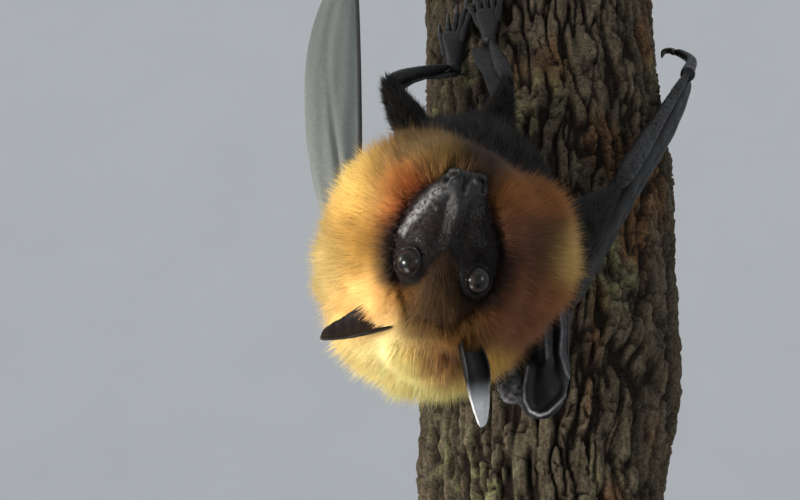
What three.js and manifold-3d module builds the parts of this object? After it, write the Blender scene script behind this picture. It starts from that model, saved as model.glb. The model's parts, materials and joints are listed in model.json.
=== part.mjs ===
// A fruit bat (flying fox) hanging head down against a cut length of tree trunk, life size,
// on a display stand. Millimetres, +Z up, the bat faces -Y. Its right side is +X.
// Every soft part is drawn out to the tips of its coat.
import * as THREE from "three";
import { mergeVertices } from "three/addons/utils/BufferGeometryUtils.js";
import Module from "manifold-3d";

const wasm = await Module();
wasm.setup();

// ---- driving dimensions ---------------------------------------------------------------

const GAP = 0.3; // air between pieces that touch on the real animal
const BASE = { width: 250, depth: 345, height: 18, chamfer: 3 };
const HEAD_CENTRE = [-40, -116, 380]; // middle of the braincase above the base's centre
const LOG = { bottom: -42, top: 345, axisY: 195, lean: -0.268, sides: 36, rings: 9 };
const LOG_AXIS_X = [[-42, 44], [30, 46], [84, 53], [200, 57], [292, 56], [345, 56]];
const LOG_RADIUS = [[-42, 57], [30, 58.5], [84, 65], [200, 67.5], [292, 65.5], [345, 67]];
const BARK_RELIEF = 2.2;
const ROD = { radius: 6, spread: 26, y: 205 };
const EYE_RADIUS = 5.4;
const RUFF = { centre: [0.4, 16.8, 22.8], width: 52, height: 52.5, depth: 40 };

// The head's own directions: towards the nose, towards the crown, towards its right side.
const FORWARD = new THREE.Vector3(0.232, -0.899, 0.369).normalize();
const CROWN = new THREE.Vector3(-0.094, -0.399, -0.912).normalize();
const RIGHT = new THREE.Vector3().crossVectors(FORWARD, CROWN).normalize();

// Joints of the limbs, measured from the middle of the head.
const SHOULDER = { right: [30, 42, 42], left: [-28, 46, 52] };
const ELBOW = { right: [80, 68, 124], left: [-56, 76, 152] };
const WRIST = { right: [137, 100, 262], left: [-26, 52, 12] };
const HIP = { right: [18, 66, 140], left: [-6, 66, 146] };
const KNEE = { right: [31, 48, 181], left: [-30, 52, 187] };
const ANKLE = { right: [23, 62, 240], left: [5, 79, 238] };

const COLOURS = {
  mantle: 0xc07f35,
  crown: 0x8a6030,
  belly: 0x2b211b,
  skin: 0x1f1c1c,
  membrane: 0x3a3838,
  eye: 0x2a160a,
  claw: 0x14110f,
  bark: 0x6d5b49,
  wood: 0x3c2a1d,
  steel: 0xb4b6b8,
};

// ---- helpers ---------------------------------------------------------------------------

const vector = (p) => new THREE.Vector3(p[0], p[1], p[2]);

// A place on the head: ahead of its middle, to its right, towards its crown.
function onHead(ahead, right, crown) {
  return new THREE.Vector3(-1, 0, 0)
    .addScaledVector(FORWARD, ahead)
    .addScaledVector(RIGHT, right)
    .addScaledVector(CROWN, crown);
}

function station(ahead, right, crown, halfWidth, halfHeight) {
  const p = onHead(ahead, right, crown);
  return [p.x, p.y, p.z, halfWidth, halfHeight];
}

function toSolid(geometry) {
  const bare = geometry.clone();
  bare.deleteAttribute("normal");
  bare.deleteAttribute("uv");
  const merged = mergeVertices(bare, 1e-3);
  const mesh = new wasm.Mesh({
    numProp: 3,
    vertProperties: new Float32Array(merged.attributes.position.array),
    triVerts: new Uint32Array(merged.index.array),
  });
  return new wasm.Manifold(mesh);
}

// The largest piece of a solid, so that a cut leaves no crumbs.
function whole(solid) {
  const pieces = solid.decompose();
  pieces.sort((a, b) => b.volume() - a.volume());
  return pieces[0];
}

function toGeometry(solid) {
  const { vertProperties, triVerts } = solid.getMesh();
  const geometry = new THREE.BufferGeometry();
  geometry.setAttribute("position", new THREE.BufferAttribute(new Float32Array(vertProperties), 3));
  geometry.setIndex(new THREE.BufferAttribute(new Uint32Array(triVerts), 1));
  geometry.computeVertexNormals();
  return geometry;
}

// A value read off a short list of [height, value] pairs.
function lookUp(pairs, height) {
  const last = pairs.length - 1;
  const next = pairs.findIndex(([h]) => h >= height);
  if (next <= 0) return next === 0 ? pairs[0][1] : pairs[last][1];
  const [h0, v0] = pairs[next - 1];
  const [h1, v1] = pairs[next];
  return v0 + ((v1 - v0) * (height - h0)) / (h1 - h0);
}

// A round-ended limb along path points [x, y, z, half width, half depth]. The half width is
// measured towards `side`. `blunt` is small for square ends and 1 for an egg.
function limb({ path, side, sides = 12, rings = 10, blunt = 0.5 }, grow = 0) {
  const centre = new THREE.CatmullRomCurve3(path.map(vector), false, "catmullrom", 0.5);
  const sizes = path.map((p) => new THREE.Vector3(p[3], p[4], 0));
  const size = new THREE.CatmullRomCurve3(sizes, false, "catmullrom", 0.5);
  const geometry = new THREE.SphereGeometry(1, sides, rings);
  const position = geometry.attributes.position;
  const point = new THREE.Vector3();
  for (let i = 0; i < position.count; i += 1) {
    point.fromBufferAttribute(position, i);
    const along = (1 - point.y) / 2;
    const ring = Math.hypot(point.x, point.z);
    const fullness = ring < 1e-6 ? 0 : Math.pow(ring, blunt) / ring;
    const tangent = centre.getTangent(along);
    const across = side.clone().addScaledVector(tangent, -side.dot(tangent)).normalize();
    const up = new THREE.Vector3().crossVectors(tangent, across);
    const half = size.getPoint(along);
    const place = centre.getPoint(along);
    place.addScaledVector(across, point.x * fullness * (half.x + grow));
    place.addScaledVector(up, point.z * fullness * (half.y + grow));
    place.addScaledVector(tangent, -point.y * grow);
    position.setXYZ(i, place.x, place.y, place.z);
  }
  return toSolid(geometry);
}

// Which edge of a sheet a coordinate lies on: -1, 1, or 0 inside it.
function onEdge(coordinate) {
  return Math.abs(coordinate) > 0.499 ? Math.sign(coordinate) : 0;
}

// A thin sheet over place(u, v), u across and v along, both from -0.5 to 0.5.
function sheet({ place, thickness, across = 4, along = 12 }, grow = 0) {
  const geometry = new THREE.BoxGeometry(1, 1, 1, across, along, 1);
  const position = geometry.attributes.position;
  const step = 0.01;
  for (let i = 0; i < position.count; i += 1) {
    const u = position.getX(i);
    const v = position.getY(i);
    const upDirection = place(u, v + step).sub(place(u, v - step)).normalize();
    const sideDirection = place(u + step, v).sub(place(u - step, v)).normalize();
    const normal = new THREE.Vector3().crossVectors(sideDirection, upDirection).normalize();
    const point = place(u, v);
    point.addScaledVector(normal, position.getZ(i) * (thickness(u, v) + 2 * grow));
    point.addScaledVector(sideDirection, onEdge(u) * grow * 1.3);
    point.addScaledVector(upDirection, onEdge(v) * grow * 1.3);
    position.setXYZ(i, point.x, point.y, point.z);
  }
  return toSolid(geometry);
}

function joined(...solids) {
  return solids.reduce((sum, next) => sum.add(next));
}

// ---- head ------------------------------------------------------------------------------

function braincaseAndMuzzle(grow = 0) {
  const path = [
    station(-36, 0, 2, 12, 11),
    station(-24, 0, 2, 19, 16.5),
    station(-8, 0, 1.5, 21, 17),
    station(5, 0, 0.5, 19.5, 15),
    station(15, 0, -1.5, 16, 12),
    station(25, 0, -3, 12.5, 9.5),
    station(33, 0, -3.5, 9.8, 7.8),
    station(39.5, 0, -3.5, 7.5, 6.5),
  ];
  const skull = limb({ path, side: RIGHT, sides: 14, rings: 14, blunt: 0.45 }, grow);
  const nostrils = [-1, 1].map((hand) => {
    const tube = [
      station(31, hand * 1.5, -1, 3.2, 3.2),
      station(36, hand * 3, -1.2, 3.4, 3.2),
      station(40.5, hand * 4.6, -2, 3, 2.8),
    ];
    return limb({ path: tube, side: RIGHT, sides: 6, rings: 5 }, grow);
  });
  return joined(skull, ...nostrils);
}

function lowerJaw(grow = 0) {
  const path = [
    station(-12, 0, -13, 14, 5),
    station(4, 0, -14, 15, 5.5),
    station(16, 0, -14, 13, 5),
    station(27, 0, -13.5, 9.6, 4.4),
    station(37.5, 0, -12.5, 6.4, 3.4),
  ];
  return limb({ path, side: RIGHT, sides: 10, rings: 8, blunt: 0.4 }, grow);
}

function eye(hand, grow = 0) {
  const geometry = new THREE.SphereGeometry(EYE_RADIUS + grow, 12, 8);
  const centre = onHead(5.4, hand * 11.9, 9.2);
  geometry.translate(centre.x, centre.y, centre.z);
  return toSolid(geometry);
}

// An ear is a leaf-shaped cup: wide low down, pointed at the tip, rolled about its length.
function ear({ root, tip, facing, width }, grow = 0) {
  const length = tip.clone().sub(root);
  const across = new THREE.Vector3().crossVectors(length, facing).normalize();
  const hollow = new THREE.Vector3().crossVectors(across, length).normalize();
  const place = (u, v) => {
    const along = THREE.MathUtils.clamp(v + 0.5, 0, 1);
    const leaf = Math.max(0, Math.sin(Math.PI * (0.2 + 0.8 * along)));
    const half = (width / 2) * Math.pow(leaf, 0.7) + 0.5;
    const turn = u * 2.5;
    return root.clone()
      .addScaledVector(length, v + 0.5)
      .addScaledVector(across, half * Math.sin(turn))
      .addScaledVector(hollow, half * (1 - Math.cos(turn)));
  };
  return sheet({ place, thickness: () => 1.6, across: 6, along: 6 }, grow);
}

const EARS = {
  left: {
    root: onHead(-20, -13, 11),
    tip: new THREE.Vector3(-46.5, 18.5, -14.5),
    facing: new THREE.Vector3(-0.1, -0.55, 0.83),
    width: 15,
  },
  right: {
    root: onHead(-20, 13, 11),
    tip: new THREE.Vector3(13.4, 36.5, -42.5),
    facing: new THREE.Vector3(0.75, -0.6, 0.2),
    width: 15,
  },
};

// ---- mantle and trunk -------------------------------------------------------------------

// The ruff seen along its own axis is round but for two dips: under the chin, where the
// darker breast shows, and beside the right ear. It swells on the left, above and below.
const RUFF_DIPS = [
  { angle: 1.03, reach: 0.26, depth: 0.13 },
  { angle: -0.68, reach: 0.5, depth: 0.17 },
  { angle: 1.95, reach: 0.3, depth: -0.035 },
  { angle: -2.1, reach: 0.5, depth: -0.035 },
];

function ruff(grow = 0) {
  const geometry = new THREE.SphereGeometry(1, 20, 12);
  geometry.rotateX(Math.PI / 2);
  const axis = new THREE.Vector3(0, -0.7071, -0.7071);
  const up = new THREE.Vector3(0, -0.7071, 0.7071);
  const position = geometry.attributes.position;
  for (let i = 0; i < position.count; i += 1) {
    const x = position.getX(i);
    const y = position.getY(i);
    const angle = Math.atan2(y, x);
    const rim = Math.hypot(x, y);
    let swell = 1;
    for (const dip of RUFF_DIPS) {
      const off = 2 * Math.sin((angle - dip.angle) / 2) / dip.reach;
      swell -= dip.depth * rim * Math.exp(-off * off);
    }
    const point = vector(RUFF.centre);
    point.x += x * (RUFF.width * swell + grow);
    point.addScaledVector(up, y * (RUFF.height * swell + grow));
    point.addScaledVector(axis, position.getZ(i) * (RUFF.depth + grow));
    position.setXYZ(i, point.x, point.y, point.z);
  }
  return toSolid(geometry);
}

const TRUNK_SIDE = new THREE.Vector3(1, 0, 0);
const TRUNK_SPLIT = 98;

function torso(grow = 0) {
  const path = [
    [2, 36, 14, 34, 26],
    [4, 46, 46, 45, 33],
    [8, 53, 84, 46, 33],
    [11, 57, 116, 43, 31],
    [10, 61, 145, 35, 25],
    [7, 66, 172, 20, 14],
  ];
  return limb({ path, side: TRUNK_SIDE, sides: 14, rings: 12, blunt: 0.5 }, grow);
}

function halfSpace(low, high) {
  const geometry = new THREE.BoxGeometry(400, 400, high - low);
  geometry.translate(0, 0, (low + high) / 2);
  return toSolid(geometry);
}

const chest = (grow = 0) => torso(grow).intersect(halfSpace(-100, TRUNK_SPLIT + grow));
const belly = (grow = 0) => torso(grow).intersect(halfSpace(TRUNK_SPLIT + GAP - grow, 300));

// ---- legs ------------------------------------------------------------------------------

const OUTWARD = new THREE.Vector3(1, 0, 0);

function between(a, b, share) {
  return a.map((value, i) => value + (b[i] - value) * share);
}

function thigh(hand, grow = 0) {
  const [hip, knee] = [HIP[hand], KNEE[hand]];
  const path = [
    [...hip, 15, 14],
    [...between(hip, knee, 0.5), 13, 12],
    [...between(hip, knee, 1.12), 8, 8],
  ];
  return limb({ path, side: OUTWARD, sides: 10, rings: 6 }, grow);
}

function shin(hand, grow = 0) {
  const [knee, ankle] = [KNEE[hand], ANKLE[hand]];
  const path = [
    [...knee, 7, 7],
    [...between(knee, ankle, 0.45), 5.2, 5.4],
    [...ankle, 3.8, 4],
  ];
  return limb({ path, side: OUTWARD, sides: 10, rings: 8 }, grow);
}

function logAxisY(height) {
  return LOG.axisY + LOG.lean * height;
}

// The trunk's front surface above a given point of the floor plan.
function barkFront(x, height, clearance) {
  const radius = lookUp(LOG_RADIUS, height) + BARK_RELIEF + clearance;
  const off = x - lookUp(LOG_AXIS_X, height);
  return logAxisY(height) - Math.sqrt(Math.max(0, radius * radius - off * off));
}

const TOES = 5;
const FOOT_LENGTH = 22;
const TOE_LENGTH = 17;

// The sole lies on the bark. Five toes spread upwards, each ending in a hooked claw.
function foot(hand, grow = 0) {
  const [x, , z] = ANKLE[hand];
  const inward = hand === "right" ? -1 : 1;
  const sole = (sx, height, clearance) => barkFront(sx, height, clearance);
  const palm = [
    [x, ANKLE[hand][1] + 0.5, z + 1, 3.8, 4],
    [x, sole(x, z + 11, 5.5), z + 11, 6, 4],
    [x, sole(x, z + FOOT_LENGTH, 4.6), z + FOOT_LENGTH, 7.6, 3],
  ];
  const pieces = [limb({ path: palm, side: OUTWARD, sides: 8, rings: 6, blunt: 0.4 }, grow)];
  for (let toe = 0; toe < TOES; toe += 1) {
    const spread = (toe - (TOES - 1) / 2) / (TOES - 1);
    const rootX = x + spread * 11;
    const endX = x + spread * 19 + inward * 1.5;
    const rootZ = z + FOOT_LENGTH - 4;
    const endZ = rootZ + TOE_LENGTH - 3 * Math.abs(spread);
    const midX = (rootX + endX) / 2;
    const midZ = (rootZ + endZ) / 2;
    const digit = [
      [rootX, sole(rootX, rootZ, 4.4), rootZ, 2, 2],
      [midX, sole(midX, midZ, 4.6), midZ, 1.8, 1.8],
      [endX, sole(endX, endZ, 3.4), endZ, 1.6, 1.7],
    ];
    const claw = [
      [endX, sole(endX, endZ - 1, 3.6), endZ - 1, 1.3, 1.5],
      [endX, sole(endX, endZ + 4, 4.4), endZ + 4, 1.1, 1.3],
      [endX, sole(endX, endZ + 7, 1.8), endZ + 7, 0.5, 0.6],
    ];
    pieces.push(limb({ path: digit, side: OUTWARD, sides: 5, rings: 4, blunt: 0.4 }, grow));
    pieces.push(limb({ path: claw, side: OUTWARD, sides: 5, rings: 4, blunt: 0.6 }, grow));
  }
  return joined(...pieces);
}

// ---- arms and wings ----------------------------------------------------------------------

const UPPER_ARM_SIZE = {
  right: [[21, 19], [17, 14], [8, 9]],
  left: [[17, 17], [12, 13], [8, 8]],
};

function upperArm(hand, grow = 0) {
  const [shoulder, elbow] = [SHOULDER[hand], ELBOW[hand]];
  const [near, middle, far] = UPPER_ARM_SIZE[hand];
  const path = [
    [...shoulder, ...near],
    [...between(shoulder, elbow, 0.5), ...middle],
    [...between(shoulder, elbow, 1.05), ...far],
  ];
  return limb({ path, side: OUTWARD, sides: 10, rings: 8 }, grow);
}

function forearm(hand, grow = 0) {
  const [elbow, wrist] = [ELBOW[hand], WRIST[hand]];
  const path = [
    [...between(elbow, wrist, 0.01), 7, 8],
    [...between(elbow, wrist, 0.25), 6.4, 7.5],
    [...between(elbow, wrist, 0.65), 4.6, 5.2],
    [...wrist, 5.5, 6],
  ];
  return limb({ path, side: OUTWARD, sides: 8, rings: 9 }, grow);
}

const THUMB_PATH = {
  right: [
    [136, 102, 262, 4, 4],
    [141, 107, 280, 3.2, 3.2],
    [138, 112, 294, 2.6, 2.6],
    [134.5, 114, 299, 2.2, 2.2],
  ],
  left: [
    [-27, 54, 10, 4, 4],
    [-33, 65, 13, 3.2, 3.2],
    [-35, 72, 21, 2.6, 2.6],
    [-33, 76, 30, 2.2, 2.2],
  ],
};

const THUMB_CLAW_PATH = {
  right: [
    [134.8, 114, 298.6, 2, 2.4],
    [129, 116, 302, 1.7, 2.1],
    [126.6, 117.4, 296, 0.7, 0.8],
  ],
  left: [
    [-33, 75.8, 29.6, 2, 2.4],
    [-30, 80, 35, 1.7, 2.1],
    [-27, 84, 32, 0.7, 0.8],
  ],
};

function thumb(hand, grow = 0) {
  return limb({ path: THUMB_PATH[hand], side: OUTWARD, sides: 8, rings: 8 }, grow);
}

function thumbClaw(hand, grow = 0) {
  const path = THUMB_CLAW_PATH[hand];
  return limb({ path, side: new THREE.Vector3(0, 1, 0), sides: 8, rings: 7, blunt: 0.6 }, grow);
}

// Right hand: the long fingers fold back down behind the arm, mantle and chest, wrapped in
// the wing membrane, and the wing tip hangs free below the shoulder.
const FINGERS_RIGHT = [
  [137, 108, 264, 5, 5],
  [115, 99, 207, 7, 6.5],
  [88, 90, 149, 8.5, 7],
  [66, 89, 103, 9.5, 7],
  [50, 84, 62, 8.5, 6],
];

const WING_TIP_RIGHT = [
  [49, 83.8, 61.6, 8.3, 5.8],
  [44.5, 77, 36, 9.5, 5.5],
  [40, 70, 12, 12, 5.5],
  [38.5, 66, -4, 10.5, 4.5],
  [37, 63, -17, 6, 3],
];

function fingersRight(grow = 0) {
  return limb({ path: FINGERS_RIGHT, side: OUTWARD, sides: 10, rings: 12, blunt: 0.2 }, grow);
}

function wingTipRight(grow = 0) {
  return limb({ path: WING_TIP_RIGHT, side: OUTWARD, sides: 12, rings: 10, blunt: 0.35 }, grow);
}

// Left hand: the wing is folded, so the fingers rise from the low wrist and hold the hand
// membrane up as a narrow blade beside the body.
const BLADE_LEFT = [
  { z: 20, inner: -30, outer: -40, y: 50, thick: 7.5 },
  { z: 60, inner: -33, outer: -47, y: 52, thick: 7 },
  { z: 110, inner: -37.5, outer: -60, y: 54, thick: 6.4 },
  { z: 160, inner: -40, outer: -68, y: 55, thick: 6 },
  { z: 215, inner: -43, outer: -71, y: 55, thick: 5 },
  { z: 262, inner: -46, outer: -66, y: 54, thick: 4 },
  { z: 296, inner: -49, outer: -54, y: 53, thick: 3 },
];

function bladeLeft(grow = 0) {
  const points = BLADE_LEFT.map((b) => new THREE.Vector3((b.inner + b.outer) / 2, b.y, b.z));
  const centre = new THREE.CatmullRomCurve3(points, false, "catmullrom", 0.5);
  const halves = BLADE_LEFT.map((b) => new THREE.Vector3((b.inner - b.outer) / 2, b.thick, 0));
  const size = new THREE.CatmullRomCurve3(halves, false, "catmullrom", 0.5);
  const place = (u, v) => {
    const along = THREE.MathUtils.clamp(v + 0.5, 0, 1);
    const point = centre.getPoint(along);
    point.z += (v + 0.5 - along) * 275;
    point.x += u * 2 * size.getPoint(along).x;
    point.y -= 3 * (1 - 4 * u * u);
    return point;
  };
  const thickness = (u, v) => size.getPoint(THREE.MathUtils.clamp(v + 0.5, 0, 1)).y * (1.1 - u * u);
  return sheet({ place, thickness, across: 4, along: 13 }, grow);
}

// The arm membrane joins the upper arm to the flank and slackens towards the elbow.
function armMembrane(hand, grow = 0) {
  const sign = hand === "right" ? 1 : -1;
  const flank = hand === "right"
    ? [[28, 66, 40], [38, 70, 66], [42, 74, 92], [38, 78, 120]]
    : [[-24, 66, 50], [-26, 70, 80], [-22, 74, 112], [-12, 78, 142]];
  const armSide = hand === "right"
    ? [[40, 64, 50], [54, 70, 70], [68, 76, 92], [79, 80, 112]]
    : [[-34, 62, 58], [-44, 70, 84], [-52, 76, 112], [-57, 80, 138]];
  const inner = new THREE.CatmullRomCurve3(flank.map(vector));
  const outer = new THREE.CatmullRomCurve3(armSide.map(vector));
  const place = (u, v) => {
    const along = THREE.MathUtils.clamp(v + 0.5, 0, 1);
    const share = u + 0.5;
    const point = inner.getPoint(along).lerp(outer.getPoint(along), share);
    const slack = 1 - 4 * u * u;
    point.z += (v + 0.5 - along) * 80 - slack * 10 * along;
    point.y += slack * 3 * Math.sin(along * 12);
    return point;
  };
  const facing = sign > 0 ? place : (u, v) => place(-u, v);
  return sheet({ place: facing, thickness: () => 1.4, across: 3, along: 7 }, grow);
}

// The narrow tail membrane edges each thigh and shin on its inner side.
function tailMembrane(hand, grow = 0) {
  const [hip, knee, ankle] = [HIP[hand], KNEE[hand], ANKLE[hand]];
  const inward = hand === "right" ? -1 : 1;
  const legLine = new THREE.CatmullRomCurve3([hip, knee, ankle].map(vector));
  const place = (u, v) => {
    const along = 0.3 + 0.66 * THREE.MathUtils.clamp(v + 0.5, 0, 1);
    const point = legLine.getPoint(along);
    const width = 9 * Math.sin(Math.PI * Math.min(1, 1.25 - along)) + 3;
    point.x += inward * (u + 0.5) * width;
    point.y += 3 + (u + 0.5) * 2;
    point.z += (v + 0.5 - THREE.MathUtils.clamp(v + 0.5, 0, 1)) * 60;
    return point;
  };
  const facing = inward > 0 ? place : (u, v) => place(-u, v);
  return sheet({ place: facing, thickness: () => 1.2, across: 2, along: 6 }, grow);
}

// ---- perch and stand -----------------------------------------------------------------------

// Long ridges of bark run up the log. Each wanders a little to either side.
function barkHeight(angle, height) {
  const wander = 0.09 * Math.sin(height / 31) + 0.05 * Math.sin(height / 13 + 2);
  const ridges = Math.cos(11 * (angle + wander));
  const broken = 0.3 * Math.sin(height / 9 + 5 * angle);
  return BARK_RELIEF * (0.55 * ridges + broken);
}

function perchLog() {
  const height = LOG.top - LOG.bottom;
  const geometry = new THREE.CylinderGeometry(1, 1, height, LOG.sides, LOG.rings);
  geometry.rotateX(Math.PI / 2);
  geometry.translate(0, 0, (LOG.top + LOG.bottom) / 2);
  const position = geometry.attributes.position;
  for (let i = 0; i < position.count; i += 1) {
    const x = position.getX(i);
    const y = position.getY(i);
    const z = position.getZ(i);
    const onRim = Math.hypot(x, y) > 0.5;
    const relief = onRim ? barkHeight(Math.atan2(y, x), z) : 0;
    const radius = lookUp(LOG_RADIUS, z) + relief;
    position.setXYZ(i, lookUp(LOG_AXIS_X, z) + x * radius, logAxisY(z) + y * radius, z);
  }
  return toSolid(geometry);
}

function standBase() {
  const { width, depth, height, chamfer } = BASE;
  const outline = new THREE.Shape();
  const [w, d] = [width / 2 - chamfer, depth / 2 - chamfer];
  outline.moveTo(-w, -d);
  outline.lineTo(w, -d);
  outline.lineTo(w, d);
  outline.lineTo(-w, d);
  outline.closePath();
  const geometry = new THREE.ExtrudeGeometry(outline, {
    depth: height - 2 * chamfer,
    bevelEnabled: true,
    bevelThickness: chamfer,
    bevelSize: chamfer,
    bevelSegments: 1,
    curveSegments: 1,
  });
  geometry.translate(0, 0, chamfer);
  return geometry;
}

function standRod(hand) {
  const side = hand === "right" ? 1 : -1;
  const low = BASE.height + GAP;
  const high = HEAD_CENTRE[2] + LOG.bottom - GAP;
  const geometry = new THREE.CylinderGeometry(ROD.radius, ROD.radius, high - low, 16);
  geometry.rotateX(Math.PI / 2);
  const x = HEAD_CENTRE[0] + lookUp(LOG_AXIS_X, LOG.bottom) + side * ROD.spread;
  geometry.translate(x, HEAD_CENTRE[1] + ROD.y, (low + high) / 2);
  return geometry;
}

// ---- assembly --------------------------------------------------------------------------------

function mesh(name, geometry, colour, roughness, metalness = 0) {
  const material = new THREE.MeshStandardMaterial({ color: colour, roughness, metalness });
  const part = new THREE.Mesh(geometry, material);
  part.name = name;
  return part;
}

// The bat's parts, from the one that keeps its full shape to the one that gives way.
const BODY_PARTS = [
  ["eye_left", (g) => eye(-1, g), COLOURS.eye, 0.1],
  ["eye_right", (g) => eye(1, g), COLOURS.eye, 0.1],
  ["jaw", lowerJaw, COLOURS.skin, 0.5],
  ["head", braincaseAndMuzzle, COLOURS.crown, 0.8],
  ["ear_left", (g) => ear(EARS.left, g), COLOURS.skin, 0.6],
  ["ear_right", (g) => ear(EARS.right, g), COLOURS.skin, 0.6],
  ["neck_ruff", ruff, COLOURS.mantle, 0.9],
  ["chest", chest, COLOURS.belly, 0.9],
  ["belly", belly, COLOURS.belly, 0.9],
  ["wing_tip_right", wingTipRight, COLOURS.membrane, 0.4],
  ["wing_fingers_right", fingersRight, COLOURS.membrane, 0.4],
  ["wing_blade_left", bladeLeft, COLOURS.membrane, 0.4],
  ...["left", "right"].flatMap((hand) => [
    [`thumb_claw_${hand}`, (g) => thumbClaw(hand, g), COLOURS.claw, 0.3],
    [`thumb_${hand}`, (g) => thumb(hand, g), COLOURS.skin, 0.5],
    [`forearm_${hand}`, (g) => forearm(hand, g), COLOURS.skin, 0.5],
    [`upper_arm_${hand}`, (g) => upperArm(hand, g), COLOURS.skin, 0.7],
    [`foot_${hand}`, (g) => foot(hand, g), COLOURS.claw, 0.5],
    [`shin_${hand}`, (g) => shin(hand, g), COLOURS.skin, 0.6],
    [`thigh_${hand}`, (g) => thigh(hand, g), COLOURS.belly, 0.9],
    [`arm_membrane_${hand}`, (g) => armMembrane(hand, g), COLOURS.membrane, 0.4],
    [`tail_membrane_${hand}`, (g) => tailMembrane(hand, g), COLOURS.membrane, 0.4],
  ]),
];

function bodyMeshes(log) {
  let taken = log;
  return BODY_PARTS.map(([name, make, colour, roughness]) => {
    const solid = whole(make(0).subtract(taken));
    taken = taken.add(make(GAP));
    return mesh(name, toGeometry(solid), colour, roughness);
  });
}

const log = perchLog();
const bat = new THREE.Group();
bat.position.set(...HEAD_CENTRE);
bat.add(...bodyMeshes(log), mesh("perch_log", toGeometry(log), COLOURS.bark, 0.95));

const stand = new THREE.Group();
stand.add(
  mesh("stand_base", standBase(), COLOURS.wood, 0.45),
  mesh("stand_rod_left", standRod("left"), COLOURS.steel, 0.3, 1),
  mesh("stand_rod_right", standRod("right"), COLOURS.steel, 0.3, 1),
);

const group = new THREE.Group();
group.add(bat, stand);

export default group;
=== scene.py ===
# %% [markdown]
# # A fruit bat on its perch
# This lesson dresses a life-size display model of a flying fox, a large fruit bat, which hangs
# head down against a cut length of tree trunk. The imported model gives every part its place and
# size. We add one smooth skin, a coat of small solid tufts, glossy eyes, thin ears, wing
# membranes, bark and a display stand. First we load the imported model, which stays untouched.

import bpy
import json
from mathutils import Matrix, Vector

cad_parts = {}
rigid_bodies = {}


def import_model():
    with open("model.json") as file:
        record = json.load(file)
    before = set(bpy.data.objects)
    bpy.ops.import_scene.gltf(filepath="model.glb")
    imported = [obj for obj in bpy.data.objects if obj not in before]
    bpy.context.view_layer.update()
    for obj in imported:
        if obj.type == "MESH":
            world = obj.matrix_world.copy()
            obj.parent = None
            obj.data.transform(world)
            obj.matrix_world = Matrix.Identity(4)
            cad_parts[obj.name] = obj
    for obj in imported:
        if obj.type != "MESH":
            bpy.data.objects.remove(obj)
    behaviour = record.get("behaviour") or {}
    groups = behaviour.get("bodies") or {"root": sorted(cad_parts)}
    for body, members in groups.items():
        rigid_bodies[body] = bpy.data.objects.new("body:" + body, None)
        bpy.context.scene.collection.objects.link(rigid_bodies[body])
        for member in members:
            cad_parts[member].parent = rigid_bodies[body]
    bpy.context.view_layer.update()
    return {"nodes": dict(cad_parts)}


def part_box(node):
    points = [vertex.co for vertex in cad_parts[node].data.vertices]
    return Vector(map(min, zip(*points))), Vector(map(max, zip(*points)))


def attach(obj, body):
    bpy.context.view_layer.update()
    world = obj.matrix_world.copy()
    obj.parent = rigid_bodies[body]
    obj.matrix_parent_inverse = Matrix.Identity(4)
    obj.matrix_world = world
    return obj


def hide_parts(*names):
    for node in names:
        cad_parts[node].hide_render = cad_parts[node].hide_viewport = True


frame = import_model()
print("nodes in the frame:", len(frame["nodes"]))

# %% Libraries
import json
import math

import bpy
import numpy as np
from mathutils import Vector
from mathutils.bvhtree import BVHTree
from mathutils.kdtree import KDTree

# %% [markdown]
# ## Two sets of directions
# A bat that hangs with its chin tucked is easier to shape in its own directions: ahead to the
# nose, right, and up to its crown. The viewer's directions (side, up, away) serve for the light,
# the camera and the markings of the coat. Places that the script lists are in millimetres from
# the middle of the head, and become metres only when a mesh is written.

# %% Directions and units
MM = 0.001
HEAD = np.array((-0.040, -0.116, 0.380))  # middle of the braincase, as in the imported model


def unit(vectors):
    vectors = np.asarray(vectors, float)
    length = np.linalg.norm(vectors, axis=-1, keepdims=True)
    return vectors / np.maximum(length, 1e-12)


AHEAD = unit((0.232, -0.899, 0.369))
CROWN = unit((-0.094, -0.399, -0.912))
RIGHT = unit(np.cross(AHEAD, CROWN))
HEAD_SHIFT = np.array((-1.0, 0.0, 0.0))
SIDE = np.array((1.0, 0.0, 0.0))
UP = unit((0, -1, 1))
AWAY = unit((0, 1, 1))


def to_frame(points):
    """Millimetres from the middle of the head to metres in the frame."""
    return HEAD + np.asarray(points, float) * MM


def from_frame(points):
    return (np.asarray(points, float) - HEAD) / MM


def on_head(ahead, right, crown):
    """A place on the head, in millimetres from its middle."""
    parts = np.stack(np.broadcast_arrays(ahead, right, crown), axis=-1).astype(float)
    return HEAD_SHIFT + parts @ np.stack((AHEAD, RIGHT, CROWN))


def head_axes(points):
    """The reverse of on_head: how far ahead, right and towards the crown each point is."""
    off = points - HEAD_SHIFT
    return off @ AHEAD, off @ RIGHT, off @ CROWN


def seen(points):
    """Side, up and away from the viewer, in millimetres."""
    return np.stack((points @ SIDE, points @ UP, points @ AWAY), axis=-1)


eye_gap = (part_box("eye_right")[0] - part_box("eye_left")[0]).length
print("eyes apart, in millimetres:", round(eye_gap / MM, 1))

# %% [markdown]
# ## Camera, floor and light
# The camera looks up at 45 degrees from just above the floor, half a metre from the head, which
# is how one sees a bat that hangs overhead. A small shift puts the head where it belongs in the
# frame. The floor is a pale studio sweep that curves up far behind the model. The main soft
# light stands on the left, a small one below it lifts the nape, a weak one fills the right, and
# the last one, from behind, picks out the tips of the fur.

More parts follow.
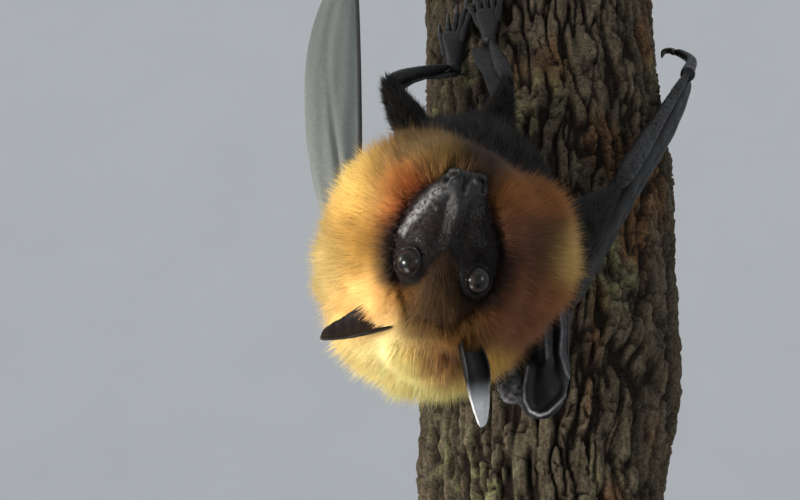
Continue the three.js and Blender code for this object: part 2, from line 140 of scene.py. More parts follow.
# %% Camera
CAMERA_REACH = 0.5
SENSOR_WIDTH, LENS = 36, 60.81
FRAME_WIDTH = 800
FRAME_SHIFT = (-45, 25)  # aside and up, in widths of one 800th of the frame
camera_data = bpy.data.cameras.new("camera")
camera_data.sensor_width = SENSOR_WIDTH
camera_data.lens = LENS
camera_data.shift_x = FRAME_SHIFT[0] / FRAME_WIDTH
camera_data.shift_y = FRAME_SHIFT[1] / FRAME_WIDTH
camera_data.clip_start = 0.02
camera = bpy.data.objects.new("camera", camera_data)
camera.location = HEAD - CAMERA_REACH * AWAY
camera.rotation_euler = (math.radians(135), 0, 0)
bpy.context.scene.collection.objects.link(camera)
bpy.context.scene.camera = camera
print("camera height above the floor:", round(camera.location.z, 4))

# %% Selecting and making meshes
def select_only(*pieces):
    bpy.ops.object.select_all(action="DESELECT")
    for piece in pieces:
        piece.select_set(True)
    bpy.context.view_layer.objects.active = pieces[0]


def new_piece(name, points, faces):
    """A smooth-shaded mesh object at the origin. The points are in metres."""
    mesh = bpy.data.meshes.new(name)
    mesh.from_pydata(np.asarray(points).tolist(), [], [list(map(int, face)) for face in faces])
    piece = bpy.data.objects.new(name, mesh)
    bpy.context.scene.collection.objects.link(piece)
    mesh.polygons.foreach_set("use_smooth", np.ones(len(mesh.polygons), bool))
    return piece


def grid_faces(rows, columns, closed=False):
    """Four-sided faces over a grid of points. A closed grid joins its last column to its first."""
    across = columns if closed else columns - 1
    row, column = np.divmod(np.arange((rows - 1) * across), across)
    after = (column + 1) % columns
    low = row * columns
    return np.stack((low + column, low + after, low + columns + after, low + columns + column), 1)


def edit_whole(piece, operator, **settings):
    """Runs one edit-mode operator on the whole of a piece."""
    select_only(piece)
    bpy.ops.object.mode_set(mode="EDIT")
    bpy.ops.mesh.select_all(action="SELECT")
    operator(**settings)
    bpy.ops.object.mode_set(mode="OBJECT")


def outward(piece):
    edit_whole(piece, bpy.ops.mesh.normals_make_consistent, inside=False)


# %% Studio sweep
SWEEP_FRONT, SWEEP_BACK = -9, 3.2
SWEEP_HALF_WIDTH, SWEEP_HEIGHT = 12, 6.5
SWEEP_CURVE = 1  # metres, the radius of the bend
sweep_turn = np.linspace(0, math.pi / 2, 13)
bend_y = SWEEP_BACK + SWEEP_CURVE * (np.sin(sweep_turn) - 1)
bend_z = SWEEP_CURVE * (1 - np.cos(sweep_turn))
sweep_y = np.concatenate(((SWEEP_FRONT,), bend_y, (SWEEP_BACK,)))
sweep_z = np.concatenate(((0,), bend_z, (SWEEP_HEIGHT,)))
sweep_sides = (-SWEEP_HALF_WIDTH, SWEEP_HALF_WIDTH)
sweep_points = [(x, y, z) for y, z in zip(sweep_y, sweep_z) for x in sweep_sides]
floor = new_piece("floor", sweep_points, grid_faces(len(sweep_y), 2))


# %% Lights
LIGHT_SPREAD = 100  # degrees


def soft_light(name, place, power, size, colour):
    """A square soft light, aimed at the head. The place is metres from the head, as seen."""
    data = bpy.data.lights.new(name, "AREA")
    data.energy = power
    data.size = size
    data.color = colour
    data.spread = math.radians(LIGHT_SPREAD)
    light = bpy.data.objects.new(name, data)
    light.location = HEAD + place[0] * SIDE + place[1] * UP + place[2] * AWAY
    aim = Vector(HEAD) - light.location
    light.rotation_euler = aim.to_track_quat("-Z", "Y").to_euler()
    light.visible_camera = False
    bpy.context.scene.collection.objects.link(light)


soft_light("key_light", (-0.43, -0.03, -0.33), 1.6, 0.2, (1.0, 0.97, 0.92))
soft_light("low_light", (-0.16, -0.28, -0.1), 0.11, 0.15, (1.0, 0.96, 0.9))
soft_light("fill_light", (0.5, 0.1, -0.4), 0.3, 0.3, (0.92, 0.96, 1.0))
soft_light("rim_light", (-1.15, 0.4, 0.2), 1.5, 0.5, (1.0, 0.95, 0.85))
world = bpy.data.worlds.new("studio")
world.use_nodes = True
world.node_tree.nodes["Background"].inputs["Color"].default_value = (0.80, 0.84, 0.88, 1)
world.node_tree.nodes["Background"].inputs["Strength"].default_value = 0.7
bpy.context.scene.world = world
bpy.context.scene.view_settings.view_transform = "Standard"

# %% [markdown]
# ## Node materials
# Every finish is a small tree of nodes. Patterns read the object's own coordinates or a colour
# stored on the mesh, so they hold from every side. The helpers below keep each tree short: one
# adds a node, one joins two sockets, and one starts a tree from a Principled shader.

# %% Material helpers
def linear(red, green, blue):
    """A colour as seen on a screen, 0 to 255, as the linear numbers that a shader uses."""
    share = np.array((red, green, blue)) / 255
    return np.where(share <= 0.04045, share / 12.92, ((share + 0.055) / 1.055) ** 2.4)


def start_material(name, **shader_values):
    material = bpy.data.materials.new(name)
    material.use_nodes = True
    shader = material.node_tree.nodes["Principled BSDF"]
    for socket, value in shader_values.items():
        shader.inputs[socket.replace("_", " ")].default_value = value
    return material, material.node_tree, shader


def add(tree, kind, settings=None, **inputs):
    node = tree.nodes.new("ShaderNode" + kind)
    for key, value in (settings or {}).items():
        setattr(node, key, value)
    for socket, value in inputs.items():
        node.inputs[socket.replace("_", " ")].default_value = value
    return node


def join(tree, source, target):
    tree.links.new(source, target)


def object_places(tree, scale=(1, 1, 1)):
    """Object coordinates, stretched by a Mapping node."""
    mapping = add(tree, "Mapping", Scale=scale)
    join(tree, add(tree, "TexCoord").outputs["Object"], mapping.inputs["Vector"])
    return mapping.outputs["Vector"]


def noise(tree, places, scale, detail=4, roughness=0.6):
    node = add(tree, "TexNoise", Scale=scale, Detail=detail, Roughness=roughness)
    join(tree, places, node.inputs["Vector"])
    return node.outputs["Fac"]


def ramp(tree, factor, *stops):
    """A ColorRamp with stops (position, (red, green, blue))."""
    node = add(tree, "ValToRGB")
    elements = node.color_ramp.elements
    while len(elements) < len(stops):
        elements.new(0.5)
    for element, (position, colour) in zip(elements, stops):
        element.position = position
        element.color = (*colour, 1)
    join(tree, factor, node.inputs["Fac"])
    return node.outputs["Color"]


def feed(tree, node, sockets, values):
    """Joins each value to its socket, or sets it there if it is a number."""
    for socket, value in zip(sockets, values):
        if isinstance(value, bpy.types.NodeSocket):
            join(tree, value, node.inputs[socket])
        else:
            node.inputs[socket].default_value = value


def levels(tree, factor, low, high, out_low, out_high):
    """Turns one range of numbers into another."""
    node = add(tree, "MapRange")
    sockets = ("Value", "From Min", "From Max", "To Min", "To Max")
    feed(tree, node, sockets, (factor, low, high, out_low, out_high))
    return node.outputs["Result"]


def worked(tree, operation, *values):
    """The result of a Math node."""
    node = add(tree, "Math", {"operation": operation})
    feed(tree, node, range(len(values)), values)
    return node.outputs[0]


def toned(tree, shader, colour, tone, share=1.0):
    """The shader's colour is the given colour times a tone."""
    node = add(tree, "Mix", {"data_type": "RGBA", "blend_type": "MULTIPLY"})
    feed(tree, node, (0, 6, 7), (share, colour, tone))
    join(tree, node.outputs[2], shader.inputs["Base Color"])


def stored(tree, name):
    """A colour that is stored on the mesh."""
    return add(tree, "Attribute", {"attribute_name": name}).outputs


def bump(tree, shader, height, strength, distance):
    node = add(tree, "Bump", Strength=strength, Distance=distance)
    join(tree, height, node.inputs["Height"])
    join(tree, node.outputs["Normal"], shader.inputs["Normal"])


def wear(piece, material):
    """The piece gets this material in its only slot."""
    piece.data.materials.clear()
    piece.data.materials.append(material)


def dress(piece, material, slot, *nodes):
    """Gives a piece its finish and its body, and hides the nodes it stands for. The slot is not used."""
    wear(piece, material)
    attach(piece, "root")
    if nodes:
        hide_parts(*nodes)


floor_material, floor_tree, floor_shader = start_material("pale_floor", Roughness=0.9)
floor_grain = noise(floor_tree, object_places(floor_tree), 3.0)
floor_colour = ramp(floor_tree, floor_grain, (0.3, (0.76, 0.765, 0.77)), (0.7, (0.79, 0.795, 0.8)))
join(floor_tree, floor_colour, floor_shader.inputs["Base Color"])
wear(floor, floor_material)
print("floor reaches", SWEEP_BACK, "m behind the stand")

# %% [markdown]
# ## One skin for the whole body
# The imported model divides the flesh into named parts. Here one skin covers them all: their
# copies are joined, swelled until the hairline gaps close, and remeshed into a single closed
# surface. Each place on it then sinks by the depth of the coat that grows there, so the tips of
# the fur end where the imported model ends. The head is lofted afresh, because it needs smooth
# curves, and then the whole is remeshed once more.

# %% Reading and smoothing meshes
def read_rows(items, attribute, width, kind=np.float32):
    """A row of numbers for each item of a mesh."""
    flat = np.empty(len(items) * width, kind)
    items.foreach_get(attribute, flat)
    return flat.reshape(-1, width)


def read_points(piece):
    return read_rows(piece.data.vertices, "co", 3).astype(float)


def read_normals(piece):
    return read_rows(piece.data.vertex_normals, "vector", 3).astype(float)


def read_edges(piece):
    return read_rows(piece.data.edges, "vertices", 2, np.int32)


def write_points(piece, points):
    piece.data.vertices.foreach_set("co", np.asarray(points, np.float32).ravel())
    piece.data.update()


def relax(values, edges, steps):
    """Each value moves halfway to the mean of its neighbours along the edges."""
    values = np.array(values, float).reshape(len(values), -1)
    count = len(values)
    degree = np.maximum(np.bincount(edges.ravel(), minlength=count), 1)
    for _ in range(steps):
        for column in range(values.shape[1]):
            value = values[:, column]
            total = np.bincount(edges[:, 0], value[edges[:, 1]], count)
            total += np.bincount(edges[:, 1], value[edges[:, 0]], count)
            values[:, column] = value + 0.5 * (total / degree - value)
    return values


def smoothstep(low, high, value):
    share = np.clip((value - low) / (high - low), 0, 1)
    return share * share * (3 - 2 * share)


def modify(piece, kind, **settings):
    """Adds a modifier and applies it at once."""
    select_only(piece)
    modifier = piece.modifiers.new(kind.lower(), kind)
    for key, value in settings.items():
        setattr(modifier, key, value)
    bpy.ops.object.modifier_apply(modifier=modifier.name)


def joined(name, pieces):
    select_only(*pieces)
    if len(pieces) > 1:
        bpy.ops.object.join()
    pieces[0].name = name
    pieces[0].data.name = name
    return pieces[0]


def copy_of(node):
    """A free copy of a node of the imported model, with its loose triangles merged."""
    piece = frame["nodes"][node].copy()
    piece.data = piece.data.copy()
    piece.parent = None
    for key in list(piece.keys()):
        del piece[key]
    bpy.context.scene.collection.objects.link(piece)
    edit_whole(piece, bpy.ops.mesh.remove_doubles, threshold=1e-6)
    return piece


def edit_chosen(piece, items, chosen):
    """Opens a piece in edit mode with only the chosen "vertices" or "polygons" selected."""
    select_only(piece)
    select_mode = (items == "vertices", False, items == "polygons")
    bpy.context.tool_settings.mesh_select_mode = select_mode
    bpy.ops.object.mode_set(mode="EDIT")
    bpy.ops.mesh.select_all(action="DESELECT")
    bpy.ops.object.mode_set(mode="OBJECT")
    getattr(piece.data, items).foreach_set("select", chosen)
    bpy.ops.object.mode_set(mode="EDIT")


def keep_outer_shell(piece):
    """Deletes every shell but the one that holds the highest point."""
    height = read_points(piece)[:, 2]
    edit_chosen(piece, "vertices", np.arange(len(height)) == height.argmax())
    bpy.ops.mesh.select_linked()
    bpy.ops.mesh.select_all(action="INVERT")
    bpy.ops.mesh.delete(type="VERT")
    bpy.ops.object.mode_set(mode="OBJECT")


def surface_of(piece):
    """A search tree of a mesh's faces, in millimetres from the middle of the head."""
    points = from_frame(read_points(piece))
    faces = [tuple(face.vertices) for face in piece.data.polygons]
    return BVHTree.FromPolygons(points.tolist(), faces)


def nearest_on(surface, points):
    """The nearest place on a surface to each point, its face and its distance."""
    found = [surface.find_nearest(point) for point in points.tolist()]
    places = np.array([hit[0][:] for hit in found])
    faces = np.array([hit[2] for hit in found])
    return places, faces, np.array([hit[3] for hit in found])


def nearest_index(places, points):
    """For each point, the number of the place that lies nearest to it."""
    tree = KDTree(len(places))
    for index, place in enumerate(places):
        tree.insert(place, index)
    tree.balance()
    return np.array([tree.find(point)[1] for point in points])


def distance_to_line(points, line):
    """The distance from each point to an open line of points."""
    nearest = np.full(len(points), np.inf)
    for start, end in zip(line[:-1], line[1:]):
        start, end = np.array(start, float), np.array(end, float)
        along = np.clip((points - start) @ (end - start) / ((end - start) @ (end - start)), 0, 1)
        gap = np.linalg.norm(points - start - along[:, None] * (end - start), axis=1)
        nearest = np.minimum(nearest, gap)
    return nearest


# %% The coat on each part
PART_COAT = {  # depth that the skin sinks by and length of the fur, in millimetres
    "head": (4, 8), "jaw": (3, 4), "neck_ruff": (10, 15), "chest": (8, 11), "belly": (8, 11),
    "upper_arm_left": (5, 6), "upper_arm_right": (5, 6),
    "forearm_left": (0.8, 2), "forearm_right": (0.8, 2),
    "thigh_left": (4.5, 5.5), "thigh_right": (4.5, 5.5),
    "shin_left": (0.8, 1.5), "shin_right": (0.8, 1.5),
}
PARTS = list(PART_COAT)
COAT_DEPTH, FUR_LENGTH = np.array(list(PART_COAT.values()), float).T
SWELL = 0.35  # closes the hairline gaps
FULL_CHEEK = 0.85  # share of the coat's depth that the cheeks don't sink by
BODY_VOXEL, HEAD_VOXEL = 1.5, 0.55


def beside_face(points):
    """1 on the cheeks and throat close to the face, 0 away from it."""
    gap = distance_to_line(points, [on_head(-10, 0, -2), on_head(34, 0, -6)])
    return (1 - smoothstep(18, 34, gap)) * (1 - smoothstep(16, 34, seen(points)[:, 2]))


copies = [copy_of(part) for part in PARTS]
face_counts = [len(copy.data.polygons) for copy in copies]
part_of_face = np.repeat(np.arange(len(PARTS)), face_counts)
body = joined("body", copies)
part_surface = surface_of(body)
write_points(body, read_points(body) + read_normals(body) * SWELL * MM)
modify(body, "REMESH", mode="VOXEL", voxel_size=BODY_VOXEL * MM)
keep_outer_shell(body)
print("outer surface:", len(body.data.vertices), "points")

# %% Sink the surface by the depth of the coat
edges = read_edges(body)
outer = relax(from_frame(read_points(body)), edges, 6)
body_part = part_of_face[nearest_on(part_surface, outer)[1]]
on_cheek = beside_face(outer) * (body_part == PARTS.index("neck_ruff"))
depth = COAT_DEPTH[body_part] * (1 - FULL_CHEEK * on_cheek)  # the cheeks are full, their fur short
depth = relax(depth, edges, 40)[:, 0]
inward = unit(relax(read_normals(body), edges, 12))
sunk = relax(outer - inward * depth[:, None], edges, 10)
write_points(body, to_frame(sunk))
print("coat from", round(depth.min(), 1), "to", round(depth.max(), 1), "mm deep")

# %% [markdown]
# ## The head
# A flying fox has a dog-like head: a rounded braincase, a long muzzle that narrows to a pair of
# short nostril tubes, and large eyes set well to the side. The head is lofted through oval
# sections, each wide and high as measured, and the curve between them is smooth. A ball stands
# where each eye and its lids bulge.

# %% Lofts
def through(rows, count):
    """Rows on a smooth curve through the given rows."""
    table = np.asarray(rows, float)
    table = np.vstack((2 * table[0] - table[1], table, 2 * table[-1] - table[-2]))
    where = np.linspace(0, len(rows) - 1, count)
    index = np.minimum(where.astype(int), len(rows) - 2)
    t = (where - index)[:, None]
    a, b, c, d = (table[index + step] for step in range(4))
    square, cube = 2 * a - 5 * b + 4 * c - d, 3 * b - a - 3 * c + d
    return 0.5 * (2 * b + (c - a) * t + square * t**2 + cube * t**3)


def loft(name, rings):
    """A closed skin over rings of points (ring, point, xyz) in millimetres, with round ends."""
    count, sides, _ = rings.shape
    ends = np.stack((rings[0].mean(0), rings[-1].mean(0)))
    points = np.vstack((rings.reshape(-1, 3), ends))
    faces = grid_faces(count, sides, closed=True).tolist()
    turn = np.arange(sides)
    first = count * sides
    faces += [(first, (k + 1) % sides, k) for k in turn]
    last_ring = (count - 1) * sides
    faces += [(first + 1, last_ring + k, last_ring + (k + 1) % sides) for k in turn]
    piece = new_piece(name, to_frame(points), faces)
    outward(piece)
    return piece


def limb(name, path, side=SIDE, sides=20, rings=24, square=2.0, section=None):
    """A limb along rows (x, y, z, half width, half depth). The half width lies towards `side`."""
    rows = through(path, rings)
    end = np.linspace(-1, 1, rings)
    rounding = np.clip(1 - np.abs(end) ** 14, 0.02, 1) ** 0.5
    tangent = unit(np.gradient(rows[:, :3], axis=0))
    across = unit(side - (tangent @ side)[:, None] * tangent)
    up = np.cross(tangent, across)
    turn = np.linspace(0, 2 * math.pi, sides, endpoint=False)
    cosine = np.sign(np.cos(turn)) * np.abs(np.cos(turn)) ** (2 / square)
    sine = np.sign(np.sin(turn)) * np.abs(np.sin(turn)) ** (2 / square)
    wide = (rows[:, 3] * rounding)[:, None] * cosine
    deep = (rows[:, 4] * rounding)[:, None] * sine
    if section is not None:
        swell = section(np.linspace(0, 1, rings)[:, None], turn[None, :])
        wide, deep = wide * swell, deep * swell
    offsets = wide[..., None] * across[:, None] + deep[..., None] * up[:, None]
    return loft(name, rows[:, None, :3] + offsets)


def station(ahead, right, crown, half_width, half_height):
    return (*on_head(ahead, right, crown), half_width, half_height)


# %% Head, jaw, nostrils and eye bulges
SKULL = [  # ahead, right, crown, half width, half height
    (-31, 0, 1.6, 6, 5), (-25, 0, 0.8, 10.5, 8.6), (-17, 0, 0.3, 13.2, 10.4),
    (-8, 0, 0.2, 15.2, 11.6),
    (0, 0, 0.4, 17, 12.4), (6, -0.3, 0.1, 18.4, 12.6), (11, -0.9, -0.6, 18.4, 11.8),
    (16, -1.5, -1.6, 17.4, 10.6), (22, -1.9, -2.7, 15.4, 9.4), (28, -1.2, -3.4, 11.8, 8.5),
    (33, -0.4, -3.6, 9.2, 7.4), (37, 0.1, -3.6, 7.6, 6.2), (40, 0.2, -3.6, 6.2, 4.6),
]
JAW = [  # the same
    (-10, 0, -12, 11, 4), (2, -0.3, -13.2, 14, 4.6), (12, -0.9, -13.6, 13.6, 4.6),
    (22, -1.6, -13.4, 11.4, 4.2), (30, -0.6, -13, 7.8, 3.6), (35.5, 0, -12.6, 5.4, 2.8),
]
NOSTRIL_TUBE = [  # for the right; the left is its mirror image
    (30, 1.6, -1.4, 2.6, 2.4), (35, 3.1, -1.2, 3.1, 2.9),
    (38.4, 4.1, -1.4, 2.9, 2.9), (40.8, 4.8, -1.9, 2.3, 2.4),
]
EYE_CENTRE = {"left": (5.4, -11.9, 9.2), "right": (5.4, 11.9, 9.2)}
EYE_RADIUS = 5.6
LID_RADIUS = EYE_RADIUS + 0.75
GAZE = (0.28, 0.48, 0.83)  # ahead, outward and crown


def ball(name, centre, radius):
    bpy.ops.object.select_all(action="DESELECT")
    bpy.ops.mesh.primitive_uv_sphere_add(
        segments=32, ring_count=20, radius=radius * MM, location=to_frame(centre)
    )
    piece = bpy.context.active_object
    piece.name = name
    bpy.ops.object.transform_apply(location=True, rotation=True, scale=True)
    return piece


def head_parts(prefix):
    skull = [station(*row) for row in SKULL]
    jaw = [station(*row) for row in JAW]
    parts = [
        limb(prefix + "skull", skull, side=RIGHT, sides=48, rings=70, square=2.25),
        limb(prefix + "jaw", jaw, side=RIGHT, sides=32, rings=40, square=2.3),
    ]
    for mirror in (-1, 1):
        tube = [station(ahead, mirror * right, *rest) for ahead, right, *rest in NOSTRIL_TUBE]
        parts.append(limb(prefix + "nostril", tube, side=RIGHT, sides=24, rings=20))
    for centre in EYE_CENTRE.values():
        parts.append(ball(prefix + "bulge", on_head(*centre), LID_RADIUS))
    return parts


fine_head = joined("fine_head", head_parts("fine_"))
modify(fine_head, "REMESH", mode="VOXEL", voxel_size=HEAD_VOXEL * MM)
keep_outer_shell(fine_head)
head_edges = read_edges(fine_head)
write_points(fine_head, relax(read_points(fine_head), head_edges, 8))
head_surface = surface_of(fine_head)
bpy.data.objects.remove(fine_head)
print("fine head:", len(head_edges), "edges")

# %% Join head and body, and refine the head
skin = joined("skin", [body, *head_parts("rough_")])
modify(skin, "REMESH", mode="VOXEL", voxel_size=BODY_VOXEL * MM)
keep_outer_shell(skin)
write_points(skin, relax(read_points(skin), read_edges(skin), 3))


def subdivide_where(piece, chosen):
    """Cuts every face in two ways whose corners are all chosen."""
    faces = [all(chosen[corner] for corner in face.vertices) for face in piece.data.polygons]
    edit_chosen(piece, "polygons", faces)
    bpy.ops.mesh.subdivide(number_cuts=1)
    bpy.ops.object.mode_set(mode="OBJECT")


def snap_to_head(piece):
    points = from_frame(read_points(piece))
    ahead, right, crown = head_axes(points)
    near = (ahead > -34) & (ahead < 46) & (np.abs(right) < 24) & (np.abs(crown) < 24)
    places, _, distance = nearest_on(head_surface, points[near])
    share = (1 - smoothstep(0.9, 2.2, distance))[:, None]
    points[near] = points[near] + (places - points[near]) * share
    write_points(piece, to_frame(points))


# %% Unwrap the skin before the head is refined
edit_whole(skin, bpy.ops.uv.smart_project, angle_limit=math.radians(66), island_margin=0.001)
skin.data.uv_layers[0].name = "OFBake"
print("skin faces:", len(skin.data.polygons))

# %% Two finer levels on the head
HEAD_LEVELS = [(-16, 21.5, -18), (-4, 20, -17)]  # how far back, how wide and how low each goes
for back, wide, low in HEAD_LEVELS:
    ahead, right, crown = head_axes(from_frame(read_points(skin)))
    subdivide_where(skin, (ahead > back) & (np.abs(right) < wide) & (crown > low) & (crown < 20))
    snap_to_head(skin)
modify(skin, "TRIANGULATE")
print("refined skin:", len(skin.data.polygons), "triangles")

# %% [markdown]
# ## Sculpting the face
# The loft gives the head its mass. The features are then pushed out or pressed in along the
# surface, each as a soft mound or hollow in the head's own directions: the ridge of the nose
# with a valley on each side, the groove between the nostrils and their comma-shaped slits, the
# lip with its small knobs, the line of the mouth, and the lids that wrap each eyeball.

# %% Smooth random numbers in space
def scatter(cells, seed):
    """A repeatable random number from 0 to 1 for each row of whole numbers."""
    mixed_up = cells @ np.array((127.1, 311.7, 74.7)[: cells.shape[1]]) + seed * 19.19
    return np.modf(np.abs(np.sin(mixed_up) * 43758.5453))[0]


def value_noise(points, size, seed=0):
    """Random lumps of about the given size, from 0 to 1."""
    scaled = np.asarray(points, float) / size
    base = np.floor(scaled)
    share = scaled - base
    share = share * share * (3 - 2 * share)
    total = np.zeros(len(scaled))
    for corner in np.ndindex(*(2,) * scaled.shape[1]):
        corner = np.array(corner)
        weight = np.prod(np.where(corner, share, 1 - share), axis=1)
        total += weight * scatter(base + corner, seed)
    return total


def mound(value, centre, reach):
    return np.exp(-(((value - centre) / reach) ** 2))


# %% Where the black face ends and the fur begins
MASK_HALF_WIDTH = (  # ahead, then half width
    (-12, -6, 0, 7, 13, 20, 26, 34, 42), (14, 20, 22.5, 24, 23, 20.5, 18.5, 15, 13)
)
MASK_BACK_EDGE = ((0, 4, 8, 12, 17, 23), (14.5, 11, 0, -4.5, -4.5, 1))  # aside, then ahead
MASK_LEAN = 2.5  # the cheek that faces the viewer is blacker


def mask_depth(ahead, right):
    """How far inside the black mask a place is, in millimetres. It is negative in the fur."""
    sideways = np.interp(ahead, *MASK_HALF_WIDTH) - np.abs(right + MASK_LEAN * mound(ahead, 14, 9))
    backward = ahead - np.interp(np.abs(right), *MASK_BACK_EDGE)
    return np.minimum(sideways, backward)


# %% Push the features out and in
NOSTRIL_SLIT = [(40.6, 4.4, 0.9), (39.4, 6.2, 0.2), (37.4, 6.9, -0.4), (35.4, 6.4, -0.6)]
BROW_RIDGE = [(14, 8.5, 9.5), (9, 6.4, 12.5), (2, 6.6, 13.5), (-2, 9, 13)]
LIP_KNOB = 1.5
points = from_frame(read_points(skin))
normals = read_normals(skin)
skin_edges = read_edges(skin)
ahead, right, crown = head_axes(points)
_, _, off_head = nearest_on(head_surface, points)
is_head = 1 - smoothstep(0.8, 2.0, off_head)
dorsal = smoothstep(0.05, 0.6, normals @ CROWN)
flank = smoothstep(0.2, 0.7, np.abs(normals @ RIGHT))
side_distance = np.abs(right)
mirrored = np.stack((ahead, side_distance, crown), 1)


def stretch(start, full, fading, end):
    """1 along one stretch of the head, counted ahead of its middle, and 0 before and after."""
    return smoothstep(start, full, ahead) * (1 - smoothstep(fading, end, ahead))


slit = distance_to_line(mirrored, NOSTRIL_SLIT)
lip = mound(crown, -7.2, 2.4) * stretch(3, 10, 35, 39) * flank
mouth = mound(crown, -10.2 + 0.02 * ahead, 0.75) * stretch(-4, 3, 38, 41) * flank
wrinkled = mound(side_distance, 8, 3) * stretch(14, 20, 34, 38)
push = 0.9 * mound(right, 0, 2.1) * stretch(8, 15, 29, 34) * dorsal  # ridge of the nose
push -= 0.9 * mound(side_distance, 4.8, 1.9) * stretch(11, 18, 29, 34) * dorsal
push -= 1.5 * mound(right, 0, 1.0) * smoothstep(32, 36, ahead) * smoothstep(-8, -3, crown)
push += 0.45 * mound(slit, 1.9, 0.7) - 2.3 * mound(slit, 0, 0.85)
push += lip * (0.8 + 0.9 * (value_noise(points, LIP_KNOB, 3) - 0.4))
push -= 1.2 * mouth
push += 0.5 * wrinkled * (value_noise(points * (0.6, 1, 1), 1.3, 8) - 0.5)
push += 0.7 * mound(distance_to_line(mirrored, BROW_RIDGE), 0, 1.5)
push += 0.25 * (value_noise(points, 2.2, 5) - 0.5)
points = points + normals * (push * is_head)[:, None]
print("deepest hollow:", round((push * is_head).min(), 2), "mm")

# %% Wrap the lids round the eyeballs
OPENING = 59  # degrees from the gaze to the edge of the lids
LID_WIDTH = 22
HAND_SIGN = {"left": -1, "right": 1}


def eye_frame(hand):
    """The middle of an eye, where it looks, and the two directions across it."""
    gaze = unit(GAZE[0] * AHEAD + HAND_SIGN[hand] * GAZE[1] * RIGHT + GAZE[2] * CROWN)
    front = unit(AHEAD - (AHEAD @ gaze) * gaze)
    return on_head(*EYE_CENTRE[hand]), gaze, front, np.cross(gaze, front)


for hand in EYE_CENTRE:
    centre, gaze, front, across = eye_frame(hand)
    off = points - centre
    reach = np.linalg.norm(off, axis=1)
    direction = off / np.maximum(reach, 1e-6)[:, None]
    angle = np.degrees(np.arccos(np.clip(direction @ gaze, -1, 1)))
    forward, sideways = direction @ front, direction @ across
    corner = np.abs(forward) / np.maximum(np.hypot(forward, sideways), 1e-6)
    past_edge = angle - (OPENING - 4 + 8 * corner**4)
    lid = EYE_RADIUS + 0.6 + 0.2 * mound(past_edge, 4, 3.5) - 0.15 * mound(past_edge, 13, 4)
    inside = EYE_RADIUS - 1.3
    wanted = inside + (lid - inside) * smoothstep(-2.5, 2.0, past_edge)
    share = 1 - smoothstep(LID_WIDTH * 0.6, LID_WIDTH * 1.5, past_edge)
    share *= reach < EYE_RADIUS + 4
    points += direction * ((wanted - reach) * share)[:, None]
seam = (off_head > 0.7) & (off_head < 4) & (ahead > -34)
eased = relax(points, skin_edges, 8)
points[seam] = eased[seam]
write_points(skin, to_frame(points))
print("points on the head:", int((is_head > 0.5).sum()))

# %% [markdown]
# ## Colours of skin and coat
# Skin and coat share one set of markings, a function of place. The mantle is golden, cream at
# the rim, and rust-red beside the muzzle and at the ears; the crown is olive brown; breast,
# belly and limbs are near black. Some markings carry painted light: low on the left and below,
# the cream rim is brightened with painted backlight glow; the peach and cream by the left ear
# are painted highlights; the right flank of the mantle and the base of the right ear are
# darkened with painted shade. Each marking is a soft patch with a middle and a reach, in the
# viewer's directions, and neighbours blend.

# %% The markings
MANTLE = linear(190, 128, 52)
DARK_FUR = linear(22, 17, 14)
BLACK_SKIN = linear(15, 14, 15)
DEPTH_SHARE = 0.45  # each patch reaches farther in depth than across
MARKINGS = {  # side, up, away and reach in millimetres, then the colour
    "cream rim left": (-47, 6, 8, 12, linear(166, 148, 94)),
    # The cream rim low on the left and below is the fur's pale tips, brightened with painted backlight glow.
    "cream rim with painted glow, low left": (-37, -31, 14, 12, linear(224, 194, 120)),
    "cream rim with painted glow, below": (-12, -43, 12, 14, linear(255, 222, 138)),
    # Painted highlight: the sunlit fur by the left ear is painted peach.
    "painted peach highlight by the left ear": (-29, -10, -2, 9, linear(246, 200, 124)),
    "gold upper left": (-32, 32, 4, 11, linear(226, 188, 106)),
    "rust beside the muzzle": (-16, 27, -6, 11, linear(130, 40, 8)),
    "rust upper left": (-22, 35, -2, 6, linear(176, 96, 36)),
    "rust low": (-20, 20, -2, 6, linear(118, 46, 14)),
    "amber under the left eye": (-20, -6, -6, 6, linear(140, 88, 26)),
    "dark left cheek": (-23, 11, -4, 5, linear(84, 54, 36)),
    # The base of the right ear is partly its own dark skin and partly painted shade.
    "dark ear base with painted shade, right": (6, -33, 0, 6, linear(26, 20, 17)),
    "dark top": (13, 54, 10, 8, linear(40, 34, 30)),
    # Painted highlight: the sunlit fur by the left ear is painted cream.
    "painted cream highlight by the left ear": (-28, -28, 2, 9, linear(254, 232, 166)),
    "olive top": (-6, 50, 10, 10, linear(136, 108, 62)),
    "orange cheek": (-33, 11, -2, 12, linear(160, 116, 44)),
    "brown crown": (0, -12, -14, 16, linear(61, 45, 27)),
    "dusky brow": (2, 2, -24, 10, linear(36, 29, 25)),
    "amber nape": (2, -29, -6, 9, linear(140, 92, 40)),
    # The next two patches are darkened with painted shade on the right side of the mantle.
    "russet with painted shade, right cheek": (27, 10, -8, 12, linear(104, 66, 50)),
    "painted shade band on the right": (38, 12, 2, 8, linear(62, 44, 35)),
    "gold right tuft": (48, 8, 10, 7, linear(206, 170, 104)),
    "russet upper right": (32, 31, 4, 10, linear(140, 88, 46)),
    "dark throat": (18, 41, 6, 6.5, linear(66, 54, 46)),
    "brown lower right": (28, -18, -2, 12, linear(138, 88, 58)),
    "gold by the right ear": (18, -36, 10, 8, linear(214, 170, 84)),
    "red at the left ear": (-31, -19, 0, 6, linear(176, 84, 30)),
    "red at the right ear": (-1, -34, 4, 6, linear(146, 74, 30)),
}


